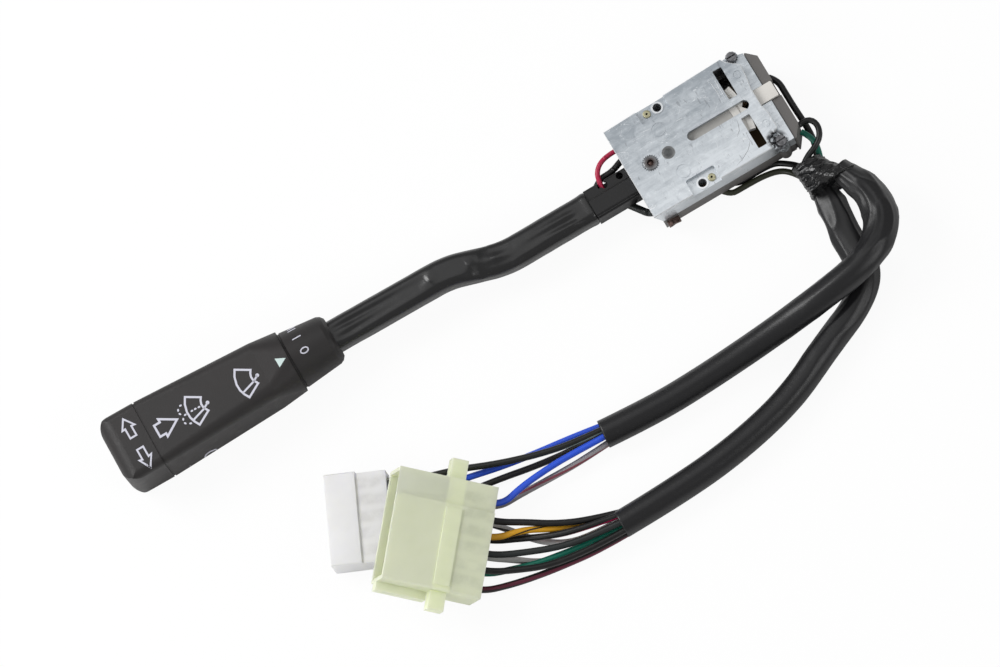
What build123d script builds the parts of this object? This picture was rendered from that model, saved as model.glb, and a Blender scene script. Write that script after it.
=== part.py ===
from build123d import *
import os
from math import cos, pi, radians, sin, tan

os.makedirs("parts", exist_ok=True)

# Combination stalk switch. Millimetres.
# +X runs along the lever from the grip to the steering-column end, +Z is the metal plate's normal, and the
# origin lies on the bench under the turn pivot.

# ---- Driving dimensions: heights of the housing, from the bench up ----
COVER_T = 3.0              # bottom cover
FLOOR_T = 1.4              # floor of the contact housing
CONTACT_H = 9.2            # contact housing, floor to rim
FRAME_H = 10.3             # die-cast frame, rim to plate top
PLATE_T = 2.0
PLATE_BEVEL = 0.3
FLANGE_DROP = 3.0          # plate top down to the screw flange
FLANGE_T = 2.0
UPSTAND_H = 16.0           # housing end that stands up behind the frame
LEVER_Z = 11.5             # lever axis inside the housing

# ---- Outline of the housing ----
FRONT = 9.7                # pivot to the frame's front edge
FRONT_DRAFT = 2.9          # how far the front leans back down to the contact housing
REAR = 52.4                # pivot to the flange's rear edge
SIDE_LOW = 19.8            # pivot to the cable side
SIDE_FRONT = 20.4          # pivot to the far side, at the front
SIDE_REAR = 21.9           # pivot to the far side, at the flange
FRAME_WALL = 2.0
HOUSING_WALL = 1.6
HOUSING_INSET = 0.5        # contact housing inside the frame's outline
PLATE_REAR = 48.9          # rear edge of the top plate
WAIST_REAR = 48.0          # the same edge beside the cancelling pawl
FLANGE_FRONT = 43.4        # where the screw flange starts
UPSTAND_T = 4.2
COVER_HIGH = 15.5          # bottom cover's reach on the far side
COVER_LOW = 15.2           # and on the cable side, short of the solder tags
MOUTH_HALF = 15.4          # half width of the lever's mouth

# ---- Holes and slots of the plate ----
FIX_X = 13.2               # both fixing holes
FIX_LOW = -17.0
FIX_HIGH = 18.5
FIX_R = 1.7
FIX_BOSS_R = 2.45
PAD_DROP = 2.0             # fixing pads below the plate's top
PAD_LENGTH = 12.4
PAD_WIDTH = 6.4
LONG_SLOT = (17.2, 44.3)
LONG_SLOT_Y = 0.95
LONG_SLOT_W = 4.0
CAM_SLOT = (38.5, 42.3)
CAM_SLOT_HIGH = (5.8, 19.0)
CAM_SLOT_LOW = (-17.1, -3.1)
RING_MARKS = ((9.3, 9.8, 2.9), (9.3, -9.7, 2.9), (46.2, 12.8, 1.7), (46.0, -10.0, 1.7))
MARK_DEPTH = 0.2

# ---- Fasteners and pivots ----
SCREW_LOW = (47.5, -18.3)
SCREW_HIGH = (47.8, 20.9)
SCREW_R = 1.5
SCREW_HEAD_R = 2.1
SCREW_HEAD_H = 1.7
SCREW_LENGTH = 12.0
EAR_R = 2.5
RIVET_R = 2.0
RIVET_BORE = 1.3
RIVET_HEAD_R = 2.9
RIVET_HEAD_H = 0.6
STUD_X = 8.0
STUD_R = 1.8
STUD_HEAD_R = 2.6
PAD_RIVETS = ((8.5, 18.3), (17.4, -16.9))
PAD_RIVET_R = 1.0
PAD_RIVET_HEAD_R = 1.6
PIVOT_PIN_R = 2.5
PIN_R = 1.5

# ---- Lever ----
ROOT_LENGTH = 28.0
ROOT_TAIL = 8.0
ROOT_HALF = 6.4
ROOT_RIDGE = 1.8           # the root's high part ends here; the perforated ledge lies beyond
ROOT_HALF_H = 5.0
LEDGE_DROP = 1.2
ROOT_WALL = 1.4
ARM_W = 12.8               # arm over its heat-shrink sleeve
ARM_H = 10.0
ARM_R = 3.6
SLEEVE_T = 1.1
BEND_START = -67.0
BEND_END = -89.0
BEND_R = 38.0
ARM_LAP = 6.0              # the arm reaches this far into the ring
SPINDLE_R = 4.0
SPINDLE_BORE = 2.2
SPINDLE_LENGTH = 71.0

# ---- Grip, measured along its own axis from the ring's mouth ----
KNOB_X = -139.0
KNOB_Y = 7.45
KNOB_Z = 13.2
KNOB_TILT = 1.03           # grip axis off the housing's X, degrees
RING_LENGTH = 18.0
RING_R = 11.9
RING_MOUTH_R = 10.2
RING_BORE = 7.3
RING_HUB_DEPTH = 10.0
SPIGOT_LENGTH = 5.0
BODY_LAP = 1.0             # the grip body reaches over the ring by this much
BODY_END = 79.6
TIP_GAP = 0.8
TIP_LENGTH = 16.4
GRIP_W = 28.2
GRIP_H = 25.0
GRIP_R = 3.2
WAIST_W = 24.8
WAIST_H = 25.2
WAIST_R = 5.5
WAIST_AT = 30.0
COLLAR_D = 25.9
CAVITY_R = 9.6
END_WALL = 1.5
TIP_WALL = 2.2
BOSS_R = 5.5
BOSS_LENGTH = 8.0
DRUM_START = 26.0
DRUM_LENGTH = 31.0
DRUM_R = 7.6
KEY_W = 2.0
KEY_H = 1.2
CLIP_T = 0.8
PLATE_DISC_T = 1.0
HORN_PIN_R = 1.2

# ---- Turning carrier ----
YOKE_HALF = 8.8
YOKE_WALL = 1.8
YOKE_FRONT = 8.0
YOKE_REAR = 11.0
CARRIER_TOP_T = 2.1
RAIL_REACH = 15.2
RAIL_T = 1.6
DETENT_END = 27.0
DETENT_HALF = 4.9
DETENT_Z = 13.5
PLUNGER_R = 2.5
TRACK_R = 29.3
TRACK_T = 5.0
NOTCH_DEPTH = 1.0
TURN = 11.0                # turn travel each way, degrees
CAM_CLEAR = 0.8            # cam's rim inside the screw flange
CAM_WIDTH = 6.1
CAM_RIM = FLANGE_FRONT - CAM_CLEAR
CAM_ROOT = CAM_RIM - CAM_WIDTH
CAM_ANGLES = (-11.6, 15.4)
CAM_GROOVE = 3.4           # root to the groove in its top
CAM_T = 2.6
BOARD_T = 1.6
BOARD_X = (13.2, 45.0)
BOARD_Y = (-17.4, 15.5)
BOARD_NOTCH = (42.5, -14.6)  # corner cut out beside the tags
TAG_COUNT = 6
TAG_X = 18.0
TAG_PITCH = 5.0
TAG_Y = -16.6
TAG_W = 1.6
TAG_T = 0.8
TAG_END = 1.2              # tags end this far above the bench
CONTACT_T = 0.4
BRIDGE_T = 0.6

# ---- Dip slide and cancelling pawl ----
SLIDE_HALF = 3.0
SLIDE_X = (11.4, 14.6)
SLIDE_H = 7.2
TONGUE_HALF = 1.5
TONGUE_T = 1.4
TONGUE_END = 12.6
PAWL_Y = (-1.8, 4.8)
PAWL_GAP = 3.4             # cam's rim to the pawl at rest
PAWL_X = (CAM_RIM + PAWL_GAP, REAR + 3.6)
PAWL_TOP = 20.2
PAWL_T = 7.8
PAWL_FOOT_T = 2.4
SPRING_ROOM = 8.2          # post to the pawl's foot
SPRING_POST_X = PAWL_X[0] - SPRING_ROOM

# ---- Clearances ----
RUN = 0.05                 # running fit, radial
FIT = 0.1                  # assembled, not sliding
SLACK = 0.3                # loose between parts of different bodies

# ---- Leads ----
LEAD_D = 2.6
SIDE_LEAD_D = 2.4
SLEEVE_D = 11.5

# ---- Levels worked out from the heights ----
FLOOR_TOP = COVER_T + FLOOR_T
RIM = COVER_T + CONTACT_H
PLATE_TOP = RIM + FRAME_H
PLATE_UNDER = PLATE_TOP - PLATE_T
FLANGE_TOP = PLATE_TOP - FLANGE_DROP
CARRIER_TOP = PLATE_UNDER - 0.2
CARRIER_CEILING = CARRIER_TOP - CARRIER_TOP_T
BOARD_TOP = FLOOR_TOP + BOARD_T
PAD_TOP = PLATE_TOP - PAD_DROP


def box(x, y, z):
    """Box between pairs of limits."""
    size = [high - low for low, high in (x, y, z)]
    return Pos(x[0], y[0], z[0]) * Box(*size, align=Align.MIN)


def drum(x, y, z, radius, axis="Z"):
    """Cylinder along an axis, between the limits given for that axis."""
    if axis == "Z":
        return Pos(x, y, z[0]) * Cylinder(radius, z[1] - z[0], align=(Align.CENTER, Align.CENTER, Align.MIN))
    if axis == "X":
        start = Plane((x[0], y, z), z_dir=(1, 0, 0))
        return start * Cylinder(radius, x[1] - x[0], align=(Align.CENTER, Align.CENTER, Align.MIN))
    start = Plane((x, y[0], z), z_dir=(0, 1, 0))
    return start * Cylinder(radius, y[1] - y[0], align=(Align.CENTER, Align.CENTER, Align.MIN))


def slab(points, z):
    """Prism on a plan outline."""
    return Pos(0, 0, z[0]) * extrude(make_face(Polyline(*points, close=True)), z[1] - z[0])


def lathe(points):
    """Revolve an outline of (x, radius) points about the X axis."""
    return revolve(make_face(Polyline(*points, close=True)), Axis.X)


def side_high(x, inset=0.0):
    """Far side of the housing, which widens from the front to the flange."""
    share = (x + FRONT) / (FLANGE_FRONT + FRONT)
    return SIDE_FRONT + (SIDE_REAR - SIDE_FRONT) * share - inset


def coil(start, length, radius, wire, turns, axis):
    """Compression spring between two seats."""
    pitch = (length - wire) / turns
    helix = Helix(pitch=pitch, height=length - wire, radius=radius)
    section = Plane(origin=helix @ 0, z_dir=helix % 0) * RegularPolygon(wire / 2, 6)
    body = sweep(section, path=helix, is_frenet=True)
    plane = Plane(start, z_dir=axis)
    return plane * (Pos(0, 0, wire / 2) * body)


def on_grip(shape):
    """Move a shape from the grip's own axis to its place; its own X runs from the tip to the lever."""
    return Location((KNOB_X, KNOB_Y, KNOB_Z), (0, 0, -KNOB_TILT)) * shape


def on_turn(shape, degrees):
    """Turn a shape about the turn pivot."""
    return Rot(0, 0, degrees) * shape


# ---------------------------------------------------------------- housing

def frame_outline(inset=0.0):
    """Plan outline of the frame's walls."""
    low = -SIDE_LOW + inset
    return [
        (-FRONT + inset, low),
        (REAR - inset, low),
        (REAR - inset, SIDE_REAR - 1.7 - inset),
        (FLANGE_FRONT + 1.6, side_high(FLANGE_FRONT, inset)),
        (-FRONT + inset, side_high(-FRONT, inset)),
    ]


def plate_outline():
    """Plan outline of the top plate, with its clipped corner, waist and screw pocket."""
    return [
        (-FRONT, -SIDE_LOW),
        (FLANGE_FRONT, -SIDE_LOW),
        (FLANGE_FRONT, -14.8),
        (PLATE_REAR - 1.4, -14.6),
        (PLATE_REAR, -13.4),
        (PLATE_REAR, -6.2),
        (WAIST_REAR, -2.8),
        (WAIST_REAR, 5.4),
        (PLATE_REAR, 10.6),
        (PLATE_REAR + 0.3, 15.9),
        (FLANGE_FRONT + 1.4, 19.9),
        (FLANGE_FRONT, side_high(FLANGE_FRONT)),
        (-FRONT, side_high(-FRONT)),
    ]


def fixing_pad(y, outward):
    """Pocket, boss and hole of one fixing pad; outward is +1 on the far side."""
    edge = side_high(FIX_X) if outward > 0 else SIDE_LOW
    start = FIX_X - (8.2 if outward > 0 else 5.4)
    across = sorted((outward * (edge - PAD_WIDTH), outward * (edge + 1)))
    pocket = box((start, start + PAD_LENGTH), across, (PAD_TOP, PLATE_TOP + 1))
    pocket = fillet(pocket.edges().filter_by(Axis.Z), 0.8)
    inner = sorted((outward * (edge - PAD_WIDTH - 1), outward * edge))
    floor = box((start - 1, start + PAD_LENGTH + 1), inner, (PAD_TOP - PLATE_T, PLATE_UNDER + 0.5))
    boss = drum(FIX_X, y, (RIM, PAD_TOP + 0.3), FIX_BOSS_R)
    hole = drum(FIX_X, y, (RIM - 1, PLATE_TOP + 1), FIX_R)
    return pocket, floor, boss, hole


def frame():
    """Die-cast frame: stepped top plate, side walls, screw flange and fixing pads."""
    plate = slab(plate_outline(), (FLANGE_TOP, PLATE_TOP))
    plate = chamfer(plate.faces().sort_by(Axis.Z)[-1].edges(), PLATE_BEVEL)
    walls = slab(frame_outline(), (RIM, FLANGE_TOP)) + plate
    cavity = slab(
        [
            (-FRONT - 1, -MOUTH_HALF),
            (-FRONT + FRAME_WALL, -MOUTH_HALF),
            (-FRONT + FRAME_WALL, -SIDE_LOW + FRAME_WALL),
            (FLANGE_FRONT, -SIDE_LOW + FRAME_WALL),
            (FLANGE_FRONT, side_high(FLANGE_FRONT, FRAME_WALL)),
            (-FRONT + FRAME_WALL, side_high(-FRONT + FRAME_WALL, FRAME_WALL)),
            (-FRONT + FRAME_WALL, MOUTH_HALF),
            (-FRONT - 1, MOUTH_HALF),
        ],
        (RIM - 1, PLATE_UNDER),
    )
    under_flange = box(
        (FLANGE_FRONT - 1, REAR - FRAME_WALL),
        (-SIDE_LOW + FRAME_WALL, 17.6),
        (RIM - 1, FLANGE_TOP - FLANGE_T),
    )
    window = box(
        (FLANGE_FRONT - 1, REAR + 1),
        (PAWL_Y[0] - SLACK, PAWL_Y[1] + SLACK),
        (RIM - 1, PLATE_UNDER),
    )
    body = walls - cavity - under_flange - window
    for x, y in (SCREW_LOW, SCREW_HIGH):
        body += drum(x, y, (RIM, FLANGE_TOP), EAR_R)
        body -= drum(x, y, (RIM - 1, PLATE_TOP + 1), SCREW_R + FIT)
    for y, outward in ((FIX_HIGH, 1), (FIX_LOW, -1)):
        pocket, floor, boss, hole = fixing_pad(y, outward)
        body = body + floor - pocket + boss - hole
    slot_mid = (LONG_SLOT[0] + LONG_SLOT[1]) / 2
    long_slot = extrude(SlotOverall(LONG_SLOT[1] - LONG_SLOT[0], LONG_SLOT_W), PLATE_T + 2)
    body -= Pos(slot_mid, LONG_SLOT_Y, PLATE_UNDER - 1) * long_slot
    for span in (CAM_SLOT_HIGH, CAM_SLOT_LOW):
        cut = box(CAM_SLOT, span, (PLATE_UNDER - 1, PLATE_TOP + 1))
        body -= fillet(cut.edges().filter_by(Axis.Z), 0.5)
    body -= drum(0, 0, (PLATE_UNDER - 1, PLATE_TOP + 1), RIVET_R)
    body -= drum(STUD_X, 0, (PLATE_UNDER - 1, PLATE_TOP + 1), STUD_R)
    body -= drum(STUD_X, 0, (PLATE_TOP - 0.8, PLATE_TOP + 1), STUD_HEAD_R)
    for x, y in PAD_RIVETS:
        body -= drum(x, y, (PAD_TOP - PLATE_T - 1, PLATE_TOP), PAD_RIVET_R)
    for x, y, radius in RING_MARKS:
        ring = drum(x, y, (PLATE_TOP - MARK_DEPTH, PLATE_TOP + 1), radius)
        body -= ring - drum(x, y, (PLATE_TOP - 1, PLATE_TOP + 1), radius - 0.4)
    wedge = Plane((-FRONT, 0, RIM), x_dir=(1, 0, 0), z_dir=(0, -1, 0)) * slab(
        [(-1, -1), (FRONT_DRAFT, -1), (FRONT_DRAFT, 0), (0, FRAME_H), (-1, FRAME_H)], (-30, 30)
    )
    body -= wedge
    return body


def contact_housing():
    """Moulded lower housing with the upstand behind the frame."""
    inset = HOUSING_INSET
    front = -FRONT + FRONT_DRAFT
    outline = [(front, -SIDE_LOW + inset), *frame_outline(inset)[1:4], (front, side_high(front, inset))]
    shell = slab(outline, (COVER_T, RIM))
    wall = HOUSING_WALL + inset
    inner = slab(
        [
            (front + HOUSING_WALL, -SIDE_LOW + wall),
            (REAR - wall, -SIDE_LOW + wall),
            (REAR - wall, 17.6),
            (FLANGE_FRONT, 17.9),
            (front + HOUSING_WALL, side_high(front, wall)),
        ],
        (FLOOR_TOP, RIM + 1),
    )
    mouth = box((front - 1, front + 4), (-MOUTH_HALF, MOUTH_HALF), (FLOOR_TOP, RIM + 1))
    upstand = slab(
        [
            (REAR + 0.2, -20.0),
            (REAR + 0.8, -20.0),
            (REAR + 0.2 + UPSTAND_T, -15.0),
            (REAR + 0.2 + UPSTAND_T, 16.5),
            (REAR + 0.8, 20.0),
            (REAR + 0.2, 20.0),
        ],
        (COVER_T, COVER_T + UPSTAND_H),
    )
    link = box((REAR - inset - 1, REAR + 1), (-SIDE_LOW + 1, 18.5), (COVER_T, RIM - 0.2))
    window = box(
        (REAR - wall - 1, REAR + UPSTAND_T + 1),
        (PAWL_Y[0] - SLACK, PAWL_Y[1] + SLACK),
        (PAWL_TOP - PAWL_T - SLACK, PLATE_TOP),
    )
    body = shell - inner - mouth + upstand + link - window
    for x, y in (SCREW_LOW, SCREW_HIGH):
        body += drum(x, y, (COVER_T + 1, RIM), EAR_R)
        body -= drum(x, y, (COVER_T + 2, RIM + 1), SCREW_R)
    body += drum(0, 0, (FLOOR_TOP, FLOOR_TOP + 1.1), PIVOT_PIN_R)
    post_y = (PAWL_Y[0] + 0.8, PAWL_Y[1] - 0.8)
    body += box((SPRING_POST_X, SPRING_POST_X + FRAME_WALL), post_y, (FLOOR_TOP, RIM - 1.2))
    body += box((front, front + 6.2), (-SIDE_LOW - 0.2, -SIDE_LOW + wall), (COVER_T + 0.5, RIM - 0.6))
    for index in range(TAG_COUNT):
        body -= tag_slot(index)
    return body


def tag_slot(index, clearance=FIT):
    """Hole for one solder tag, through board and floor."""
    x = TAG_X + index * TAG_PITCH
    half = (TAG_W / 2 + clearance, TAG_T / 2 + clearance)
    return box((x - half[0], x + half[0]), (TAG_Y - half[1], TAG_Y + half[1]), (COVER_T - 1, BOARD_TOP + 1))


def bottom_cover():
    """Cover plate under the contact housing, narrower than it so that leads can run beside it."""
    plate = box((-4.5, REAR - 2.4), (-COVER_LOW, COVER_HIGH), (0, COVER_T))
    plate = fillet(plate.edges().filter_by(Axis.Z), 3.0)
    return chamfer(plate.faces().sort_by(Axis.Z)[0].edges(), 0.6)


def screw(x, y):
    """Cheese-head housing screw with a slot."""
    head = drum(x, y, (FLANGE_TOP, FLANGE_TOP + SCREW_HEAD_H), SCREW_HEAD_R)
    head = chamfer(head.faces().sort_by(Axis.Z)[-1].edges(), 0.35)
    slot = box((x - 3, x + 3), (y - 0.35, y + 0.35), (FLANGE_TOP + SCREW_HEAD_H - 0.8, PLATE_TOP))
    return head - slot + drum(x, y, (FLANGE_TOP - SCREW_LENGTH, FLANGE_TOP), SCREW_R - FIT)


def housing_screws():
    """Both housing screws."""
    return Compound([screw(*SCREW_LOW), screw(*SCREW_HIGH)])


def pivot_rivet():
    """Hollow rivet that the carrier turns on."""
    shank = drum(0, 0, (CARRIER_CEILING - 0.2, PLATE_TOP), RIVET_R - RUN)
    head = drum(0, 0, (PLATE_TOP, PLATE_TOP + RIVET_HEAD_H), RIVET_HEAD_R)
    head = fillet(head.faces().sort_by(Axis.Z)[-1].edges(), 0.4)
    foot = drum(0, 0, (CARRIER_CEILING - 0.8, CARRIER_CEILING - 0.1), RIVET_HEAD_R)
    return shank + head + foot - drum(0, 0, (0, PLATE_TOP + 2), RIVET_BORE)


def stop_stud():
    """Flush stud whose shank limits the carrier's turn."""
    head = drum(STUD_X, 0, (PLATE_TOP - 0.8, PLATE_TOP - 0.1), STUD_HEAD_R - RUN)
    return head + drum(STUD_X, 0, (CARRIER_CEILING, PLATE_TOP - 0.8), STUD_R - RUN)


def pad_rivets():
    """Hollow rivets in the two fixing pads."""
    rivets = []
    for x, y in PAD_RIVETS:
        shank = drum(x, y, (PAD_TOP - PLATE_T - 0.5, PAD_TOP), PAD_RIVET_R - RUN)
        head = drum(x, y, (PAD_TOP, PAD_TOP + 0.7), PAD_RIVET_HEAD_R)
        head = fillet(head.faces().sort_by(Axis.Z)[-1].edges(), 0.4)
        rivets.append(shank + head - drum(x, y, (0, PLATE_TOP), PAD_RIVET_R * 0.45))
    return Compound(rivets)


def contact_board():
    """Insulating board on the housing floor."""
    board = box(BOARD_X, BOARD_Y, (FLOOR_TOP, BOARD_TOP))
    board -= box((SPRING_POST_X - 1, BOARD_X[1] + 1), (PAWL_Y[0] - 1, PAWL_Y[1] + 1), (0, RIM))
    board -= box((BOARD_NOTCH[0], BOARD_X[1] + 1), (BOARD_Y[0] - 1, BOARD_NOTCH[1]), (0, RIM))
    for index in range(TAG_COUNT):
        board -= tag_slot(index)
    return board


def contact_arc(radius, width, start, end, z):
    """Flat ring sector about the turn pivot."""
    ring = drum(0, 0, z, radius + width / 2) - drum(0, 0, (z[0] - 1, z[1] + 1), radius - width / 2)
    far = radius * 2
    wedge = slab(
        [(0, 0), (far * cos(radians(start)), far * sin(radians(start))),
         (far * cos(radians(end)), far * sin(radians(end)))],
        (z[0] - 1, z[1] + 1),
    )
    return ring & wedge


def fixed_contacts():
    """Common track and the two turn contacts on the board."""
    z = (BOARD_TOP, BOARD_TOP + CONTACT_T)
    return Compound([
        contact_arc(18.5, 2.0, -26, 26, z),
        contact_arc(23.5, 2.0, 5, 26, z),
        contact_arc(23.5, 2.0, -26, -5, z),
    ])


def solder_tags():
    """Tags that lead the contacts down through the floor to the leads."""
    tags = []
    for index in range(TAG_COUNT):
        x = TAG_X + index * TAG_PITCH
        across = (TAG_Y - TAG_T / 2, TAG_Y + TAG_T / 2)
        tag = box((x - TAG_W / 2, x + TAG_W / 2), across, (TAG_END, BOARD_TOP))
        tags.append(tag + box((x - TAG_W / 2, x + TAG_W / 2), (TAG_Y - TAG_T / 2, TAG_Y + 3), (BOARD_TOP, BOARD_TOP + CONTACT_T)))
    return Compound(tags)


def detent_track():
    """Fixed arc with three notches that the plunger falls into."""
    z = (BOARD_TOP, CARRIER_CEILING - 1.0)
    far = TRACK_R + TRACK_T
    half = 2 * TURN
    ring = drum(0, 0, z, far) - drum(0, 0, (0, PLATE_TOP), TRACK_R)
    reach = 3 * far
    wedge = slab(
        [(0, 0), (reach * cos(radians(half)), -reach * sin(radians(half))),
         (reach * cos(radians(half)), reach * sin(radians(half)))],
        z,
    )
    track = ring & wedge
    for turn in (-TURN, 0, TURN):
        notch = drum(TRACK_R + NOTCH_DEPTH - 1.6, 0, (0, PLATE_TOP), 1.6)
        track -= on_turn(notch, turn)
    return track


# ---------------------------------------------------------------- turning carrier

def turn_carrier():
    """Yoke round the lever's root, with the plunger's barrel and the arm under the long slot."""
    span = (-YOKE_FRONT, YOKE_REAR)
    half = (-YOKE_HALF, YOKE_HALF)
    bottom = (FLOOR_TOP + 0.2, FLOOR_TOP + 1.4)
    body = box(span, half, (CARRIER_CEILING, CARRIER_TOP))
    body += box((-YOKE_FRONT + 2, YOKE_REAR), half, bottom)
    for side in (-1, 1):
        wall = sorted((side * YOKE_HALF, side * (YOKE_HALF - YOKE_WALL)))
        body += box(span, wall, (bottom[0], CARRIER_CEILING))
        rail = sorted((side * (SLIDE_HALF + SLACK), side * (SLIDE_HALF + SLACK + RAIL_T)))
        body += box((YOKE_REAR, RAIL_REACH), rail, (FLOOR_TOP + 2.6, CARRIER_CEILING))
    web = box((YOKE_REAR - YOKE_WALL, YOKE_REAR), half, (bottom[0], CARRIER_CEILING))
    window = box((YOKE_REAR - 3, YOKE_REAR + 1), (-TONGUE_HALF - 1, TONGUE_HALF + 1), (LEVER_Z - 2.4, LEVER_Z + 2.4))
    body += web - window
    barrel_floor = BOARD_TOP + CONTACT_T + BRIDGE_T + FIT
    barrel = box((RAIL_REACH, DETENT_END), (-DETENT_HALF, DETENT_HALF), (barrel_floor, CARRIER_CEILING))
    body += barrel - drum((RAIL_REACH + 1.4, DETENT_END + 1), 0, DETENT_Z, PLUNGER_R + RUN, "X")
    arm = box((YOKE_REAR, CAM_ROOT + 1.2), (-4.0, 5.6), (CARRIER_CEILING + 0.1, CARRIER_TOP - 0.3))
    body += arm
    body -= on_cam_seat(FIT)
    body -= drum(0, 0, (0, PLATE_TOP), RIVET_R)
    body -= drum(0, 0, (FLOOR_TOP, FLOOR_TOP + 2), PIVOT_PIN_R + RUN)
    body -= contact_arc(STUD_X, 2 * (STUD_R + SLACK), -TURN - 17, TURN + 17, (CARRIER_CEILING - 1, PLATE_TOP))
    body -= drum(0, (-YOKE_HALF - 1, YOKE_HALF + 1), LEVER_Z, PIN_R, "Y")
    return body


def on_cam_seat(clearance):
    """Space that the cam sector's root takes out of the carrier's arm."""
    z = (CARRIER_CEILING - 1, PLATE_TOP)
    return contact_arc(CAM_ROOT + CAM_WIDTH / 2, CAM_WIDTH + 2 * clearance, -20, 24, z)


def cam_sector():
    """White cam at the arm's end, seen through the slots, with the notch that the pawl follows."""
    z = (CARRIER_TOP - CAM_T, CARRIER_TOP - 0.1)
    sector = contact_arc(CAM_ROOT + CAM_WIDTH / 2, CAM_WIDTH, *CAM_ANGLES, z)
    nose_y = (PAWL_Y[0] + PAWL_Y[1]) / 2
    notch = slab([(CAM_RIM - 1.4, nose_y), (CAM_RIM + 2, nose_y - 4), (CAM_RIM + 2, nose_y + 4)], (0, PLATE_TOP))
    groove = contact_arc(CAM_ROOT + CAM_GROOVE, 0.7, *CAM_ANGLES, (z[1] - 0.5, PLATE_TOP))
    return sector - notch - groove


def detent_plunger():
    """Spring plunger with a round nose."""
    body = drum((19.5, DETENT_END + 0.8), 0, DETENT_Z, PLUNGER_R, "X")
    nose = drum((DETENT_END + 0.8, DETENT_END + 2.0), 0, DETENT_Z, 1.5, "X")
    nose = fillet(nose.faces().sort_by(Axis.X)[-1].edges(), 1.1)
    return body + nose - drum((19, 23.5), 0, DETENT_Z, PLUNGER_R - 0.7, "X")


def detent_spring():
    """Spring behind the plunger."""
    return coil((RAIL_REACH + 1.6, 0, DETENT_Z), 6.6, 1.2, 0.5, 4.5, (1, 0, 0))


def turn_bridge():
    """Brass bridge that wipes the fixed contacts."""
    z = (BOARD_TOP + CONTACT_T + FIT, BOARD_TOP + CONTACT_T + FIT + BRIDGE_T)
    plate = box((16.5, 26.0), (-1.6, 1.6), z)
    return plate + box((22.4, 24.6), (-4.4, 4.4), z) + box((17.4, 19.6), (-3.6, 3.6), z)


def lever_pin():
    """Pin that the lever rocks on, held in the yoke."""
    return drum(0, (-YOKE_HALF, YOKE_HALF), LEVER_Z, PIN_R - RUN, "Y")


# ---------------------------------------------------------------- lever

def arm_path():
    """Centre line of the arm: straight, S-bend, then along the grip's axis into the ring."""
    slope = tan(radians(KNOB_TILT))

    def on_axis(x):
        return (x, KNOB_Y - (x - KNOB_X) * slope, KNOB_Z)

    points = ((-ROOT_LENGTH + 1, 0, LEVER_Z), (BEND_START, 0, LEVER_Z), on_axis(BEND_END), on_axis(KNOB_X - ARM_LAP))
    return FilletPolyline(*points, radius=BEND_R)


def arm_tube(shrink):
    """Arm swept with its outer section reduced by a wall on every side."""
    path = arm_path()
    start = Plane(origin=path @ 0, x_dir=(0, 1, 0), z_dir=path % 0)
    section = RectangleRounded(ARM_W - 2 * shrink, ARM_H - 2 * shrink, ARM_R - shrink)
    return sweep(start * section, path=path)


def lever_root():
    """Pressed root with a raised ridge, a perforated ledge and a tongue at its tail."""
    low = LEVER_Z - ROOT_HALF_H
    high = LEVER_Z + ROOT_HALF_H
    span = (-ROOT_LENGTH, ROOT_TAIL)
    body = box(span, (-ROOT_HALF, ROOT_HALF), (low, high - LEDGE_DROP))
    body = fillet(body.edges().filter_by(Axis.X), 1.0)
    ridge = box(span, (-ROOT_HALF + 0.6, ROOT_RIDGE), (LEVER_Z, high))
    body += fillet(ridge.faces().sort_by(Axis.Z)[-1].edges().filter_by(Axis.X), 0.9)
    hollow = box(
        (-ROOT_LENGTH - 1, ROOT_TAIL - ROOT_WALL),
        (-ROOT_HALF + ROOT_WALL, ROOT_HALF - ROOT_WALL),
        (low + ROOT_WALL, high - LEDGE_DROP - ROOT_WALL),
    )
    body -= hollow
    for x in (-19.5, -12.6):
        body -= drum(x, 4.3, (LEVER_Z, high + 1), 1.4)
    side = (ROOT_HALF - ROOT_WALL - 1, ROOT_HALF + 1)
    body -= box((-26.2, -16.4), side, (LEVER_Z - 1.8, LEVER_Z + 1.8))
    body -= box((-22.2, -19.0), side, (LEVER_Z, high + 1))
    tongue_z = (LEVER_Z - TONGUE_T / 2, LEVER_Z + TONGUE_T / 2)
    body += box((ROOT_TAIL - 1, TONGUE_END), (-TONGUE_HALF, TONGUE_HALF), tongue_z)
    return body - drum(0, (-ROOT_HALF - 1, ROOT_HALF + 1), LEVER_Z, PIN_R, "Y")


def lever_core():
    """Root, hollow arm and the hollow spindle that carries the grip."""
    arm = arm_tube(SLEEVE_T + FIT) - arm_tube(SLEEVE_T + FIT + ROOT_WALL)
    spindle = on_grip(drum((-SPINDLE_LENGTH, 2 - ARM_LAP), 0, 0, SPINDLE_R, "X"))
    through = on_grip(drum((-SPINDLE_LENGTH - 1, 3), 0, 0, SPINDLE_BORE, "X"))
    return lever_root() + (arm + spindle - through)


def lever_sleeve():
    """Heat-shrink sleeve over the arm."""
    clear = box((-ROOT_LENGTH - 0.1, 0), (-9, 9), (0, PLATE_TOP))
    end = on_grip(box((-2 * ARM_LAP, 2.2 - ARM_LAP), (-9, 9), (-9, 9)))
    return arm_tube(0) - arm_tube(SLEEVE_T) - clear - end


def index_ring():
    """Ring with the numerals, fixed on the spindle in front of the grip body."""
    return on_grip(lathe([
        (-RING_LENGTH - SPIGOT_LENGTH, SPINDLE_R + RUN),
        (-RING_LENGTH - SPIGOT_LENGTH, CAVITY_R - SLACK),
        (-RING_LENGTH, CAVITY_R - SLACK),
        (-RING_LENGTH, RING_R),
        (-2.6, RING_MOUTH_R + 0.1),
        (-1.1, RING_MOUTH_R - 0.6),
        (0, RING_MOUTH_R - 2.0),
        (0, RING_BORE),
        (-RING_HUB_DEPTH, RING_BORE),
        (-RING_HUB_DEPTH, SPINDLE_R + RUN),
    ]))


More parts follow.
